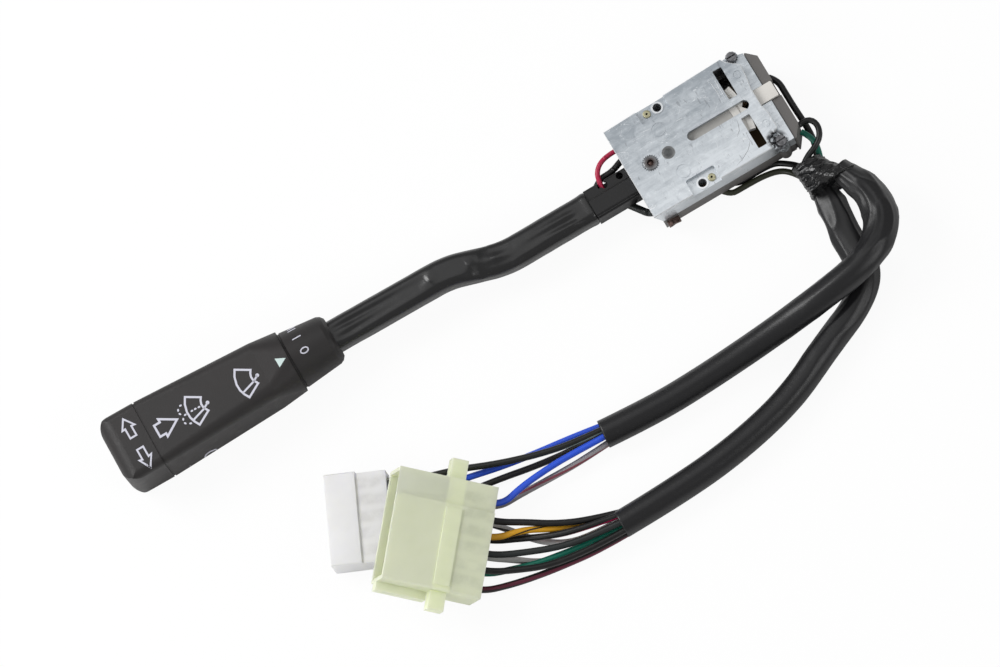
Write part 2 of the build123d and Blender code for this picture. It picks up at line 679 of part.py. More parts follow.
def wiper_contact_plate():
    """Contact disc on the spindle, against the ring's hub."""
    start = -RING_LENGTH - SPIGOT_LENGTH - PLATE_DISC_T - FIT
    disc = drum((start, start + PLATE_DISC_T), 0, 0, 8.4, "X") - drum((start - 1, 0), 0, 0, SPINDLE_R + RUN, "X")
    for turn in range(3):
        pad = drum((start - 0.6, start), 6.3, 0, 0.9, "X")
        disc += Rot(turn * 32 + 30, 0, 0) * pad
    return on_grip(disc)


# ---------------------------------------------------------------- grip

def wiper_drum():
    """Keyed drum that turns with the grip body on the spindle."""
    span = (-DRUM_START - DRUM_LENGTH, -DRUM_START)
    body = drum(span, 0, 0, DRUM_R, "X")
    for side in (-1, 1):
        across = sorted((side * (DRUM_R - 1), side * (DRUM_R + KEY_H)))
        body += box((span[0], span[1] - 3), across, (-KEY_W / 2, KEY_W / 2))
    return on_grip(body - drum((span[0] - 1, span[1] + 1), 0, 0, SPINDLE_R + RUN, "X"))


def spindle_clip():
    """Retaining clip at the drum's end."""
    end = -DRUM_START - DRUM_LENGTH - FIT
    ring = drum((end - CLIP_T, end), 0, 0, 6.2, "X") - drum((end - 2, 1), 0, 0, SPINDLE_R + RUN, "X")
    return on_grip(ring - box((end - 2, 1), (0, 9), (-1.8, 1.8)))


def grip_section(x, width, height, corner):
    """Section of the grip across its axis."""
    return Plane((x, 0, 0), x_dir=(0, 1, 0), z_dir=(1, 0, 0)) * RectangleRounded(width, height, corner)


def handle_body():
    """Hollow grip body: wide and square at the tip, waisted, and round over the ring."""
    lap_end = -RING_LENGTH - BODY_LAP
    outer = loft([
        grip_section(-BODY_END, GRIP_W, GRIP_H, GRIP_R),
        grip_section(-WAIST_AT, WAIST_W, WAIST_H, WAIST_R),
    ]) + loft([
        grip_section(-WAIST_AT, WAIST_W, WAIST_H, WAIST_R),
        grip_section(lap_end, COLLAR_D, COLLAR_D, COLLAR_D / 2 - 0.05),
    ])
    mouth_depth = 3.6
    body = outer - drum((lap_end - mouth_depth, lap_end + 1), 0, 0, RING_R + 0.15, "X")
    body -= drum((-BODY_END + END_WALL, lap_end), 0, 0, CAVITY_R, "X")
    body += drum((-BODY_END - BOSS_LENGTH, -BODY_END + END_WALL), 0, 0, BOSS_R, "X")
    body -= drum((-BODY_END - BOSS_LENGTH - 1, -BODY_END + END_WALL + 1), 0, 0, HORN_PIN_R + RUN, "X")
    for side in (-1, 1):
        for flank in (-1, 1):
            across = sorted((side * (DRUM_R + 0.35), side * (CAVITY_R + 0.2)))
            height = sorted((flank * (KEY_W / 2 + 0.2), flank * (KEY_W / 2 + 1.8)))
            body += box((-DRUM_START - DRUM_LENGTH + 4, -DRUM_START - 4), across, height)
    return on_grip(body)


def horn_contact():
    """Brass contact pin in the grip body's boss."""
    return on_grip(
        drum((-BODY_END - BOSS_LENGTH - 1.2, -BODY_END + END_WALL), 0, 0, HORN_PIN_R, "X")
        + drum((-BODY_END + END_WALL, -BODY_END + END_WALL + 0.8), 0, 0, 2.4, "X")
    )


def washer_spring():
    """Spring that pushes the grip body back out."""
    start = -BODY_END + END_WALL + 1.0
    end = -DRUM_START - DRUM_LENGTH - FIT - CLIP_T - 0.2
    return on_grip(coil((start, 0, 0), end - start, 5.2, 0.8, 6, (1, 0, 0)))


def rounded_prism(length, width, radius, depth):
    """Block with its two outer corners rounded, from x = -length to 0."""
    outline = make_face(Polyline((0, -width / 2), (0, width / 2), (-length, width / 2), (-length, -width / 2), close=True))
    outer = outline.vertices().sort_by(Axis.X)[:2]
    return extrude(fillet(outer, radius), depth, both=True)


def tip_form(inset):
    """Rounded end of the grip, from the seam outwards; inset makes its inside."""
    width = GRIP_W - 2 * inset
    height = GRIP_H - 2 * inset
    length = TIP_LENGTH - inset
    plan = rounded_prism(length, width, 6.5 - inset, height)
    side = Rot(90, 0, 0) * rounded_prism(length, height, 6.0 - inset, width)
    section = extrude(grip_section(-length - 1, width, height, GRIP_R - inset / 2), length + 2)
    return Pos(-BODY_END - TIP_GAP, 0, 0) * (plan & side & section)


def horn_button():
    """Hollow end button with a guide round the grip body's boss."""
    seam = -BODY_END - TIP_GAP
    shell = tip_form(0) - (tip_form(TIP_WALL) + tip_opening())
    guide = drum((seam - TIP_LENGTH + TIP_WALL - 0.5, seam - 1.5), 0, 0, BOSS_R + 1.8, "X")
    guide -= drum((seam - TIP_LENGTH + TIP_WALL, seam), 0, 0, BOSS_R + RUN, "X")
    return on_grip(shell + guide)


def tip_opening():
    """Mouth of the button's shell, so that the seam end is open."""
    seam = -BODY_END - TIP_GAP
    inner = grip_section(seam - 2, GRIP_W - 2 * TIP_WALL, GRIP_H - 2 * TIP_WALL, GRIP_R - TIP_WALL / 2)
    return extrude(inner, 3)


def horn_spring():
    """Spring between the boss and the button."""
    start = -BODY_END - TIP_GAP - TIP_LENGTH + TIP_WALL + 0.1
    end = -BODY_END - BOSS_LENGTH - 0.1
    return on_grip(coil((start, 0, 0), end - start, 2.6, 0.6, 3, (1, 0, 0)))


# ---------------------------------------------------------------- dip slide and cancelling pawl

def dip_slider():
    """Slide that the lever's tongue lifts and lowers between the carrier's rails."""
    block = box(SLIDE_X, (-SLIDE_HALF, SLIDE_HALF), (LEVER_Z - SLIDE_H / 2, LEVER_Z + SLIDE_H / 2))
    mouth = (LEVER_Z - TONGUE_T / 2 - 0.5, LEVER_Z + TONGUE_T / 2 + 0.5)
    return block - box((SLIDE_X[0] - 1, TONGUE_END + SLACK), (-TONGUE_HALF - SLACK, TONGUE_HALF + SLACK), mouth)


def cancel_pawl():
    """White pawl at the column end, with the foot that its spring pushes on."""
    z = (PAWL_TOP - PAWL_T, PAWL_TOP)
    body = box(PAWL_X, PAWL_Y, z)
    body = fillet(body.edges().filter_by(Axis.Z).group_by(Axis.X)[-1], 0.6)
    body += box((PAWL_X[0], PAWL_X[0] + PAWL_FOOT_T), PAWL_Y, (FLOOR_TOP + 1.8, z[0]))
    return body


def cancel_spring():
    """Spring between the housing's post and the pawl's foot."""
    y = (PAWL_Y[0] + PAWL_Y[1]) / 2
    start = SPRING_POST_X + FRAME_WALL + 0.1
    return coil((start, y, FLOOR_TOP + 4.2), PAWL_X[0] - start - 0.1, 1.4, 0.5, 5, (1, 0, 0))


# ---------------------------------------------------------------- leads and sleeves

def cord(points, diameter, name):
    """Tube of straight runs joined by tangent arcs, each as large as its two runs allow."""
    stops = [Vector(*point) for point in points]
    radii = []
    for before, here, after in zip(stops, stops[1:], stops[2:]):
        turn = (here - before).get_angle(after - here)
        shorter = min((here - before).length, (after - here).length)
        radii.append(0.45 * shorter / tan(radians(turn) / 2))
    path = FilletPolyline(*stops, radius=radii)
    section = Plane(origin=path @ 0, z_dir=path % 0) * Circle(diameter / 2)
    tube = sweep(section, path=path)
    expected = pi * diameter ** 2 / 4 * path.length
    smallest = f"{min(radii) / diameter:.1f} d" if radii else "straight"
    print(f"{name}: length {path.length:.1f}, least radius {smallest}, volume ratio {tube.volume / expected:.4f}")
    return tube


SLEEVES = {
    "sleeve_upper": [
        (60.8, -37.5, 13.8), (63.2, -44.0, 13.8), (67.2, -53.0, 14.0), (66.6, -66.0, 16.0), (54.6, -75.6, 18.2),
        (35.0, -78.6, 16.2), (6.0, -79.4, 8.0), (-24.0, -80.6, 6.0), (-48.0, -81.0, 6.0), (-68.8, -79.2, 6.0),
    ],
    "sleeve_lower": [
        (52.2, -37.5, 5.9), (51.9, -50.0, 5.9), (50.2, -63.0, 5.9), (50.6, -76.5, 5.9), (41.5, -86.0, 5.9),
        (22.0, -94.0, 5.9), (1.0, -104.4, 5.9), (-24.0, -110.4, 5.9), (-52.0, -113.4, 5.9), (-80.5, -113.6, 5.9),
    ],
}

FAN = {
    "lead_blue_a": [(-67.5, -75.6, 5.0), (-80.0, -73.4, 4.8), (-94.4, -71.4, 4.2), (-109.0, -68.8, 3.6),
                    (-124.0, -65.2, 3.6), (-140.6, -62.8, 5.0), (-154.15, -57.66, 6.7)],
    "lead_black_green": [(-67.5, -78.0, 8.6), (-81.0, -76.8, 8.8), (-96.0, -73.0, 8.4), (-111.0, -67.6, 7.8),
                         (-124.0, -61.6, 6.8), (-138.6, -56.9, 6.4), (-151.45, -51.66, 6.7)],
    "lead_black_brown": [(-67.5, -78.5, 4.2), (-82.0, -77.4, 3.0), (-97.0, -75.2, 2.0), (-112.0, -72.0, 1.5),
                         (-126.0, -70.0, 1.6), (-143.4, -68.6, 4.0), (-156.85, -63.66, 6.7)],
    "lead_blue_b": [(-67.5, -80.7, 8.0), (-79.4, -80.0, 7.4), (-92.0, -79.8, 7.4), (-106.0, -81.2, 8.6),
                    (-116.1, -83.9, 9.4), (-120.0, -80.7, 11.65)],
    "lead_grey": [(-67.5, -82.7, 5.0), (-80.6, -83.4, 4.6), (-94.0, -83.0, 4.2), (-107.6, -82.2, 3.6),
                  (-118.1, -82.3, 3.5), (-122.0, -79.1, 5.7)],
    "lead_black_a": [(-79.0, -109.3, 7.0), (-90.6, -105.8, 7.5), (-102.0, -100.6, 8.2), (-111.6, -94.2, 8.8),
                     (-120.2, -89.1, 9.4), (-124.1, -85.9, 11.65)],
    "lead_black_red": [(-79.0, -110.9, 9.3), (-91.4, -108.4, 8.8), (-104.0, -104.4, 6.8), (-117.2, -97.2, 4.2),
                       (-126.4, -92.5, 3.5), (-130.3, -89.3, 5.7)],
    "lead_yellow": [(-79.0, -109.9, 4.0), (-91.6, -107.0, 4.4), (-103.5, -101.2, 5.0), (-114.0, -96.2, 8.8),
                    (-124.4, -94.2, 9.4), (-128.3, -91.0, 11.65)],
    "lead_pale_a": [(-79.0, -112.1, 6.4), (-90.0, -110.8, 3.4), (-101.6, -108.2, 1.6), (-110.6, -101.8, 1.6),
                    (-116.6, -94.2, 2.0), (-122.3, -87.4, 3.5), (-126.2, -84.2, 5.7)],
    "lead_slate": [(-79.0, -113.8, 9.5), (-91.6, -112.6, 8.9), (-105.0, -109.6, 8.4), (-119.0, -103.8, 8.6),
                   (-128.6, -99.3, 9.4), (-132.5, -96.1, 11.65)],
    "lead_pale_b": [(-79.0, -113.0, 3.4), (-91.4, -113.3, 2.0), (-104.0, -112.8, 1.6), (-114.6, -109.0, 1.6),
                    (-122.6, -103.0, 2.2), (-130.6, -97.7, 3.5), (-134.5, -94.5, 5.7)],
    "lead_green": [(-79.0, -115.0, 6.1), (-91.6, -113.9, 5.6), (-105.2, -111.6, 5.2), (-115.8, -109.6, 4.8),
                   (-125.2, -106.4, 4.2), (-134.7, -102.8, 3.5), (-138.6, -99.6, 5.7)],
    "lead_black_b": [(-79.0, -117.0, 8.4), (-91.6, -116.5, 8.0), (-104.6, -115.0, 7.8), (-114.4, -112.8, 8.2),
                     (-123.6, -108.8, 8.8), (-132.7, -104.4, 9.4), (-136.6, -101.2, 11.65)],
    "lead_maroon": [(-79.0, -117.5, 4.4), (-92.0, -117.4, 4.2), (-106.6, -115.6, 4.0), (-118.6, -113.6, 3.8),
                    (-128.8, -111.2, 3.6), (-138.9, -107.9, 3.5), (-142.8, -104.7, 5.7)],
}

HOUSING_LEADS = {
    "side_lead_olive": (SIDE_LEAD_D, [(18.0, -16.9, 2.0), (20.6, -20.9, 1.4), (26.0, -20.95, 1.4),
                                      (35.0, -21.1, 1.4), (42.0, -22.6, 1.4), (46.0, -26.6, 2.4),
                                      (48.2, -31.0, 4.0)]),
    "side_lead_black": (SIDE_LEAD_D, [(23.0, -16.9, 2.0), (25.4, -18.45, 1.4), (28.8, -18.6, 1.4),
                                      (35.4, -18.5, 1.4), (41.6, -18.9, 1.4), (45.8, -22.2, 2.6),
                                      (49.2, -26.2, 5.2), (50.8, -30.8, 8.0)]),
    "end_lead_green": (SIDE_LEAD_D, [(56.4, -15.9, 9.0), (59.0, -20.0, 8.6), (58.6, -25.6, 7.6),
                                     (56.6, -30.6, 6.6)]),
    "loop_lead": (SIDE_LEAD_D, [(56.6, -14.6, 13.4), (60.4, -13.8, 13.8), (63.2, -17.4, 13.8), (61.8, -22.4, 13.0),
                                (57.4, -25.2, 12.4), (52.8, -26.6, 11.4), (49.2, -29.4, 10.6)]),
    "end_lead_black": (LEAD_D, [(56.6, 9.8, 8.6), (59.0, 7.0, 8.6), (59.0, 1.4, 8.5), (59.0, -6.0, 8.2),
                                (59.4, -13.0, 6.8), (59.2, -19.6, 5.0), (57.4, -25.6, 4.2), (54.6, -30.6, 3.4)]),
    "lever_lead_red": (2.0, [(-20.8, 3.6, 12.6), (-20.4, 7.6, 14.2), (-19.0, 10.8, 14.6), (-15.6, 13.4, 14.6),
                             (-9.4, 14.2, 14.4), (-2.6, 13.6, 13.6), (3.6, 13.2, 12.8)]),
    "lever_lead_black": (LEAD_D, [(-25.5, 3.4, 11.5), (-20.5, 8.4, 11.7), (-14.5, 8.0, 11.9), (-8.4, 10.6, 11.6),
                                  (-1.6, 11.7, 11.0), (4.8, 11.6, 10.4)]),
    "lever_lead_green": (3.0, [(-15.0, -4.6, 4.9), (-12.4, -8.4, 5.2), (-9.8, -12.6, 6.4), (-4.6, -13.6, 7.2),
                               (0.4, -13.6, 7.2)]),
}


def tape_wrap():
    """Taped branch where the leads enter the two sleeves."""
    def ring(y, x, z, corner):
        """Section of the tape across Y."""
        plane = Plane(((x[0] + x[1]) / 2, y, (z[0] + z[1]) / 2), x_dir=(1, 0, 0), z_dir=(0, -1, 0))
        return plane * RectangleRounded(x[1] - x[0], z[1] - z[0], corner)

    return loft([
        ring(-27.2, (46.2, 57.6), (1.0, 12.4), 4.6),
        ring(-33.0, (46.9, 59.6), (0.4, 15.0), 4.8),
        ring(-41.0, (47.0, 65.6), (0.3, 18.8), 5.0),
    ])


# ---------------------------------------------------------------- connectors

CELL = 5.2                 # square wire cell
CELL_PITCH = 6.6
CELL_DEPTH = 3.0
SHELL_T = 1.5
TERMINAL_W = 3.6
TERMINAL_T = 1.0

WHITE = {"length": 24.0, "width": 36.4, "height": 13.4, "rows": (6.7,), "columns": 5, "shroud": 12.0}
YELLOW = {"length": 39.4, "width": 44.4, "height": 17.0, "rows": (5.0, 11.5), "columns": 6, "shroud": 20.0}
WHITE_PLACE = Location((-154.95, -64.56, 0), (0, 0, -24.2))
YELLOW_PLACE = Location((-132.5, -91.8, 0.3), (0, 0, -39.1)) * Location((0, 0, 0), (0, 24.0, 0))
STEP_DROP = 0.8            # white housing's top drops by this behind its shroud
KEY_RIB_H = 5.0            # key rib along the yellow shroud's cable side
KEY_RIB_REACH = 3.4
BAND_W = 6.4               # latch band round the yellow housing
BAND_T = 0.5


def cell_centres(kind):
    """Places of the wire cells on the wire face, as (across, height)."""
    offset = (kind["columns"] - 1) / 2
    return [((index - offset) * CELL_PITCH, row) for row in kind["rows"] for index in range(kind["columns"])]


def connector(kind):
    """Connector housing along its own X: wire face at x = 0, open mating shroud at x = -length."""
    half = kind["width"] / 2
    body = box((-kind["length"], 0), (-half, half), (0, kind["height"]))
    body = fillet(body.edges().filter_by(Axis.X), 0.8)
    opening = box(
        (-kind["length"] - 1, -kind["length"] + kind["shroud"]),
        (-half + SHELL_T, half - SHELL_T),
        (SHELL_T, kind["height"] - SHELL_T),
    )
    body -= opening
    for across, row in cell_centres(kind):
        span = (across - CELL / 2, across + CELL / 2)
        body -= box((-CELL_DEPTH, 1), span, (row - CELL / 2, row + CELL / 2))
        hole = (across - TERMINAL_W / 2 - FIT, across + TERMINAL_W / 2 + FIT)
        reach = -kind["length"] + kind["shroud"] - 1
        body -= box((reach, 0), hole, (row - TERMINAL_T / 2 - FIT, row + TERMINAL_T / 2 + FIT))
    return body


def terminals(kind):
    """Receptacle terminals, one in each cell, their mouths flush with the shroud's floor."""
    blades = []
    for across, row in cell_centres(kind):
        span = (across - TERMINAL_W / 2, across + TERMINAL_W / 2)
        tip = -kind["length"] + kind["shroud"]
        blade = box((tip, -CELL_DEPTH), span, (row - TERMINAL_T / 2, row + TERMINAL_T / 2))
        crimp = box((-CELL_DEPTH, -CELL_DEPTH + 1.2), (across - 1.6, across + 1.6), (row - 1.6, row + 1.6))
        blades.append(blade + crimp)
    return Compound(blades)


def white_connector():
    """Flat connector that lies on the bench, its shroud a step proud of its wire end."""
    half = WHITE["width"] / 2
    neck = -WHITE["length"] + WHITE["shroud"]
    body = connector(WHITE)
    body -= box((neck, 1), (half - STEP_DROP, half + 1), (-1, WHITE["height"] + 1))
    body -= box((neck, 1), (-half, half), (WHITE["height"] - STEP_DROP, WHITE["height"] + 1))
    return WHITE_PLACE * body


def yellow_connector():
    """Pale yellow connector that leans on the white one, with a key rib, a step and a latch band with two tabs."""
    half = YELLOW["width"] / 2
    height = YELLOW["height"]
    length = YELLOW["length"]
    body = connector(YELLOW)
    body -= box((-length - 1, 1), (half - 10.5, half + 1), (height - 1.2, height + 1))
    rib_x = (-length, -length + YELLOW["shroud"])
    body += box(rib_x, (-half - KEY_RIB_REACH, -half + 0.5), (height - 8.5 - KEY_RIB_H, height - 8.5))
    band_x = (-length + YELLOW["shroud"], -length + YELLOW["shroud"] + BAND_W)
    body += box(band_x, (-half + 2, half - 12), (height - 0.5, height + BAND_T))
    for side, reach in ((1, 7.8), (-1, 7.4)):
        across = sorted((side * (half - 0.5), side * (half + reach)))
        body += box(band_x, across, (height - 8.0, height - 2.4))
    return YELLOW_PLACE * body


# ---------------------------------------------------------------- export

NODES = {
    "frame": frame,
    "contact_housing": contact_housing,
    "bottom_cover": bottom_cover,
    "housing_screws": housing_screws,
    "pivot_rivet": pivot_rivet,
    "stop_stud": stop_stud,
    "pad_rivets": pad_rivets,
    "contact_board": contact_board,
    "fixed_contacts": fixed_contacts,
    "solder_tags": solder_tags,
    "detent_track": detent_track,
    "turn_carrier": turn_carrier,
    "cam_sector": cam_sector,
    "detent_plunger": detent_plunger,
    "detent_spring": detent_spring,
    "turn_bridge": turn_bridge,
    "lever_pin": lever_pin,
    "lever_core": lever_core,
    "lever_sleeve": lever_sleeve,
    "index_ring": index_ring,
    "wiper_contact_plate": wiper_contact_plate,
    "wiper_drum": wiper_drum,
    "spindle_clip": spindle_clip,
    "handle_body": handle_body,
    "washer_spring": washer_spring,
    "horn_contact": horn_contact,
    "horn_button": horn_button,
    "horn_spring": horn_spring,
    "dip_slider": dip_slider,
    "cancel_pawl": cancel_pawl,
    "cancel_spring": cancel_spring,
    "tape_wrap": tape_wrap,
    "white_connector": white_connector,
    "white_terminals": lambda: WHITE_PLACE * terminals(WHITE),
    "yellow_connector": yellow_connector,
    "yellow_terminals": lambda: YELLOW_PLACE * terminals(YELLOW),
}

for node, build in NODES.items():
    export_step(build(), f"parts/{node}.step")
for node, points in SLEEVES.items():
    export_step(cord(points, SLEEVE_D, node), f"parts/{node}.step")
for node, points in FAN.items():
    export_step(cord(points, LEAD_D, node), f"parts/{node}.step")
for node, (diameter, points) in HOUSING_LEADS.items():
    export_step(cord(points, diameter, node), f"parts/{node}.step")
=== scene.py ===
"""Looks of the combination stalk switch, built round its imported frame. Lengths in the tables are millimetres."""

from __future__ import annotations

import logging
import math
from dataclasses import dataclass, field
from enum import Enum
from typing import Callable, Iterable, Sequence

import bmesh
import bpy
from mathutils import Matrix, Vector, noise
from mathutils.bvhtree import BVHTree

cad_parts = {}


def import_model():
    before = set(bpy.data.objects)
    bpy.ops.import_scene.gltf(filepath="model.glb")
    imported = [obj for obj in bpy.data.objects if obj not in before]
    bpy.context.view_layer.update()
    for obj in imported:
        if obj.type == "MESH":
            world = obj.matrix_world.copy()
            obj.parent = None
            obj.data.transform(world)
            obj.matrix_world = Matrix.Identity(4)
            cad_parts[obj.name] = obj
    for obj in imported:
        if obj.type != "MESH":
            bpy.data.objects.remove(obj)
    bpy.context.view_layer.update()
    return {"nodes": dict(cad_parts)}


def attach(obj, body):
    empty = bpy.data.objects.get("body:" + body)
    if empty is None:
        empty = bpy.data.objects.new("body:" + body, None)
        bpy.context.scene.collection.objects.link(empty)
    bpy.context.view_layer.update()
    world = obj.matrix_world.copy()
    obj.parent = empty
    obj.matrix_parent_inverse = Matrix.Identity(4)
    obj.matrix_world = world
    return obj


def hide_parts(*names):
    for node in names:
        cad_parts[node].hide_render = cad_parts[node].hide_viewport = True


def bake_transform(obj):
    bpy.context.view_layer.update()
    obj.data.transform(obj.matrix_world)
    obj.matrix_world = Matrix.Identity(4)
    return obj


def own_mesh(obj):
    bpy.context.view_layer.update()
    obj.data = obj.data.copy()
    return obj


LOG = logging.getLogger("stalk_switch")
MM = 0.001
PLATE_TOP = 22.5
FOOT = 0.01  # how deep the foot of a mark lies in the plate
BENCH_GAP = 0.2  # worked pieces stay this far above the bench
GRIP_AXIS = (0.999838, -0.017976, 0.0)
ALONG = (1.0, 0.0, 0.0)
STROKE_STEPS = 7  # a printed stroke follows a curved face in this many steps
WELD = 1e-6  # metres, as bmesh takes them
FINE_WELD = 1e-7
DECLARED_LENGTH = 30.0  # a shorter cord only rides
DECLARED_DIAMETERS = 6
MIX_INPUTS = (0, 6, 7)  # by number, as a Mix node's sockets share their names
MIX_OUTPUT = 2
RECORD_SLOTS = (
    "lead_black", "lead_blue", "lead_green", "lead_yellow", "lead_red", "lead_maroon", "lead_grey", "lead_pale",
    "lead_slate", "lead_olive")
Flat = tuple[float, float]
Outline = Sequence[Flat]
Triangles = list[tuple[Flat, Flat, Flat]]
Point = tuple[float, float, float]
Colour = tuple[float, float, float]
Shape = Callable[[float, float], float]
Shift = Callable[[Vector, Vector], float]
Nodes = dict[str, bpy.types.Object]


# ---------------------------------------------------------------- shader maths

class Value:
    """A shader socket or number that takes part in Python expressions."""

    def __init__(self, tree: "Recipe", source: object) -> None:
        """Wrap a socket or number of one node tree."""
        self.tree = tree
        self.source = source

    def _with(self, operation: str, first: object, second: object) -> "Value":
        """Add one Math node and return its result.

        Args:
            operation: the Math node's operation.
            first: its first operand.
            second: its second operand.

        Returns:
            The node's output as a Value.
        """
        return self.tree.node("ShaderNodeMath", {"operation": operation}, {0: first, 1: second})

    def __add__(self, other: object) -> "Value":
        """Sum."""
        return self._with("ADD", self, other)

    def __radd__(self, other: object) -> "Value":
        """Sum with a number on the left."""
        return self._with("ADD", other, self)

    def __sub__(self, other: object) -> "Value":
        """Difference."""
        return self._with("SUBTRACT", self, other)

    def __rsub__(self, other: object) -> "Value":
        """Difference from a number on the left."""
        return self._with("SUBTRACT", other, self)

    def __mul__(self, other: object) -> "Value":
        """Product."""
        return self._with("MULTIPLY", self, other)

    def __rmul__(self, other: object) -> "Value":
        """Product with a number on the left."""
        return self._with("MULTIPLY", other, self)

    def __abs__(self) -> "Value":
        """Absolute value."""
        return self._with("ABSOLUTE", self, 0.0)

    def __lt__(self, other: object) -> "Value":
        """1 where this is below the other, else 0."""
        return self._with("LESS_THAN", self, other)


class Recipe:
    """One material's node tree, with a Principled shader as its end."""

    def __init__(self, name: str) -> None:
        """Start a material.

        Args:
            name: the finish's name; the material's own name adds a word, so that it meets no other.
        """
        self.material = bpy.data.materials.new(name + "_finish")
        self.material.use_nodes = True
        self.nodes = self.material.node_tree.nodes
        self.links = self.material.node_tree.links
        self.shader = self.nodes["Principled BSDF"]

    def node(self, kind: str, settings: dict, inputs: dict, output: int | str = 0) -> Value:
        """Add a node.

        Args:
            kind: its type.
            settings: its own settings by name.
            inputs: values or links of its sockets, by name or number.
            output: the output socket to return.

        Returns:
            That output as a Value.
        """
        made = self.nodes.new(kind)
        for key, value in settings.items():
            setattr(made, key, value)
        for key, value in inputs.items():
            self.plug(value, made.inputs[key])
        return Value(self, made.outputs[output])

    def plug(self, value: object, socket: bpy.types.NodeSocket) -> None:
        """Set a socket to a number, a colour or another socket.

        Args:
            value: what the socket takes.
            socket: the input socket.
        """
        source = value.source if isinstance(value, Value) else value
        if isinstance(source, bpy.types.NodeSocket):
            self.links.new(source, socket)
        elif isinstance(source, tuple) and len(source) == 3 and socket.type == "RGBA":
            socket.default_value = (*source, 1.0)
        else:
            socket.default_value = source

    def place(self) -> Value:
        """Object coordinates."""
        return self.node("ShaderNodeTexCoord", {}, {}, "Object")

    def stretched(self, scale: Point) -> Value:
        """Object coordinates stretched along the axes."""
        return self.node("ShaderNodeMapping", {}, {"Vector": self.place(), "Scale": scale})

    def distance(self, x: float, y: float) -> Value:
        """Millimetres from the upright axis through a point given in millimetres."""
        flat = self.node("ShaderNodeMapping", {}, {"Vector": self.place(), "Scale": (1000.0, 1000.0, 0.0)})
        return self.node("ShaderNodeVectorMath", {"operation": "DISTANCE"}, {0: flat, 1: (x, y, 0.0)}, "Value")

    def local(self, origin: Point, turn: Point) -> dict[str, Value]:
        """Millimetres along the axes of something that is placed and turned.

        Args:
            origin: its place, in millimetres.
            turn: its Euler angles, in degrees.

        Returns:
            The X, Y and Z values by letter.
        """
        inputs = {"Vector": self.place(), "Location": tuple(c * MM for c in origin),
                  "Rotation": tuple(math.radians(c) for c in turn), "Scale": (MM, MM, MM)}
        inside = self.node("ShaderNodeMapping", {"vector_type": "TEXTURE"}, inputs)
        return {axis: self.node("ShaderNodeSeparateXYZ", {}, {"Vector": inside}, axis) for axis in "XYZ"}

    def upright(self) -> Value:
        """How far the surface faces up, from -1 to 1."""
        normal = self.node("ShaderNodeTexCoord", {}, {}, "Normal")
        return self.node("ShaderNodeSeparateXYZ", {}, {"Vector": normal}, "Z")

    def cloud(self, scale: float, detail: float = 4.0, rough: float = 0.55, where: Value | None = None,
              curl: float = 0.0) -> Value:
        """Noise from 0 to 1.

        Args:
            scale: waves a metre.
            detail: how many finer layers it has.
            rough: how strong they are.
            where: coordinates to read instead of the object's own.
            curl: distortion.

        Returns:
            The noise.
        """
        inputs = {"Vector": where or self.place(), "Scale": scale, "Detail": detail, "Roughness": rough,
                  "Distortion": curl}
        return self.node("ShaderNodeTexNoise", {}, inputs, "Fac")

    def ramp(self, value: Value, low: float, high: float, bottom: float = 0.0, top: float = 1.0) -> Value:
        """Map a value's range onto another, clamped.

        Args:
            value: what is mapped.
            low: value that becomes the bottom.
            high: value that becomes the top.
            bottom: result at and below low.
            top: result at and above high.

        Returns:
            The result.
        """
        inputs = {"Value": value, "From Min": low, "From Max": high, "To Min": bottom, "To Max": top}
        return self.node("ShaderNodeMapRange", {}, inputs, "Result")

    def mix(self, factor: object, first: object, second: object) -> Value:
        """Mix two colours.

        Args:
            factor: share of the second.
            first: first colour.
            second: second colour.

        Returns:
            The mixed colour.
        """
        made = self.nodes.new("ShaderNodeMix")
        made.data_type = "RGBA"
        for value, number in zip((factor, first, second), MIX_INPUTS):
            self.plug(value, made.inputs[number])
        return Value(self, made.outputs[MIX_OUTPUT])

    def bump(self, height: Value, distance: float, strength: float = 1.0) -> None:
        """Feed the shader's normal from a height in metres times distance."""
        inputs = {"Height": height, "Distance": distance, "Strength": strength}
        self.plug(self.node("ShaderNodeBump", {}, inputs, "Normal"), self.shader.inputs["Normal"])

    def finish(self, **sockets: object) -> bpy.types.Material:
        """Set the Principled shader's sockets.

        Args:
            sockets: values by socket name, with underscores for spaces.

        Returns:
            The material.
        """
        for key, value in sockets.items():
            self.plug(value, self.shader.inputs[key.replace("_", " ")])
        return self.material


# ---------------------------------------------------------------- finishes

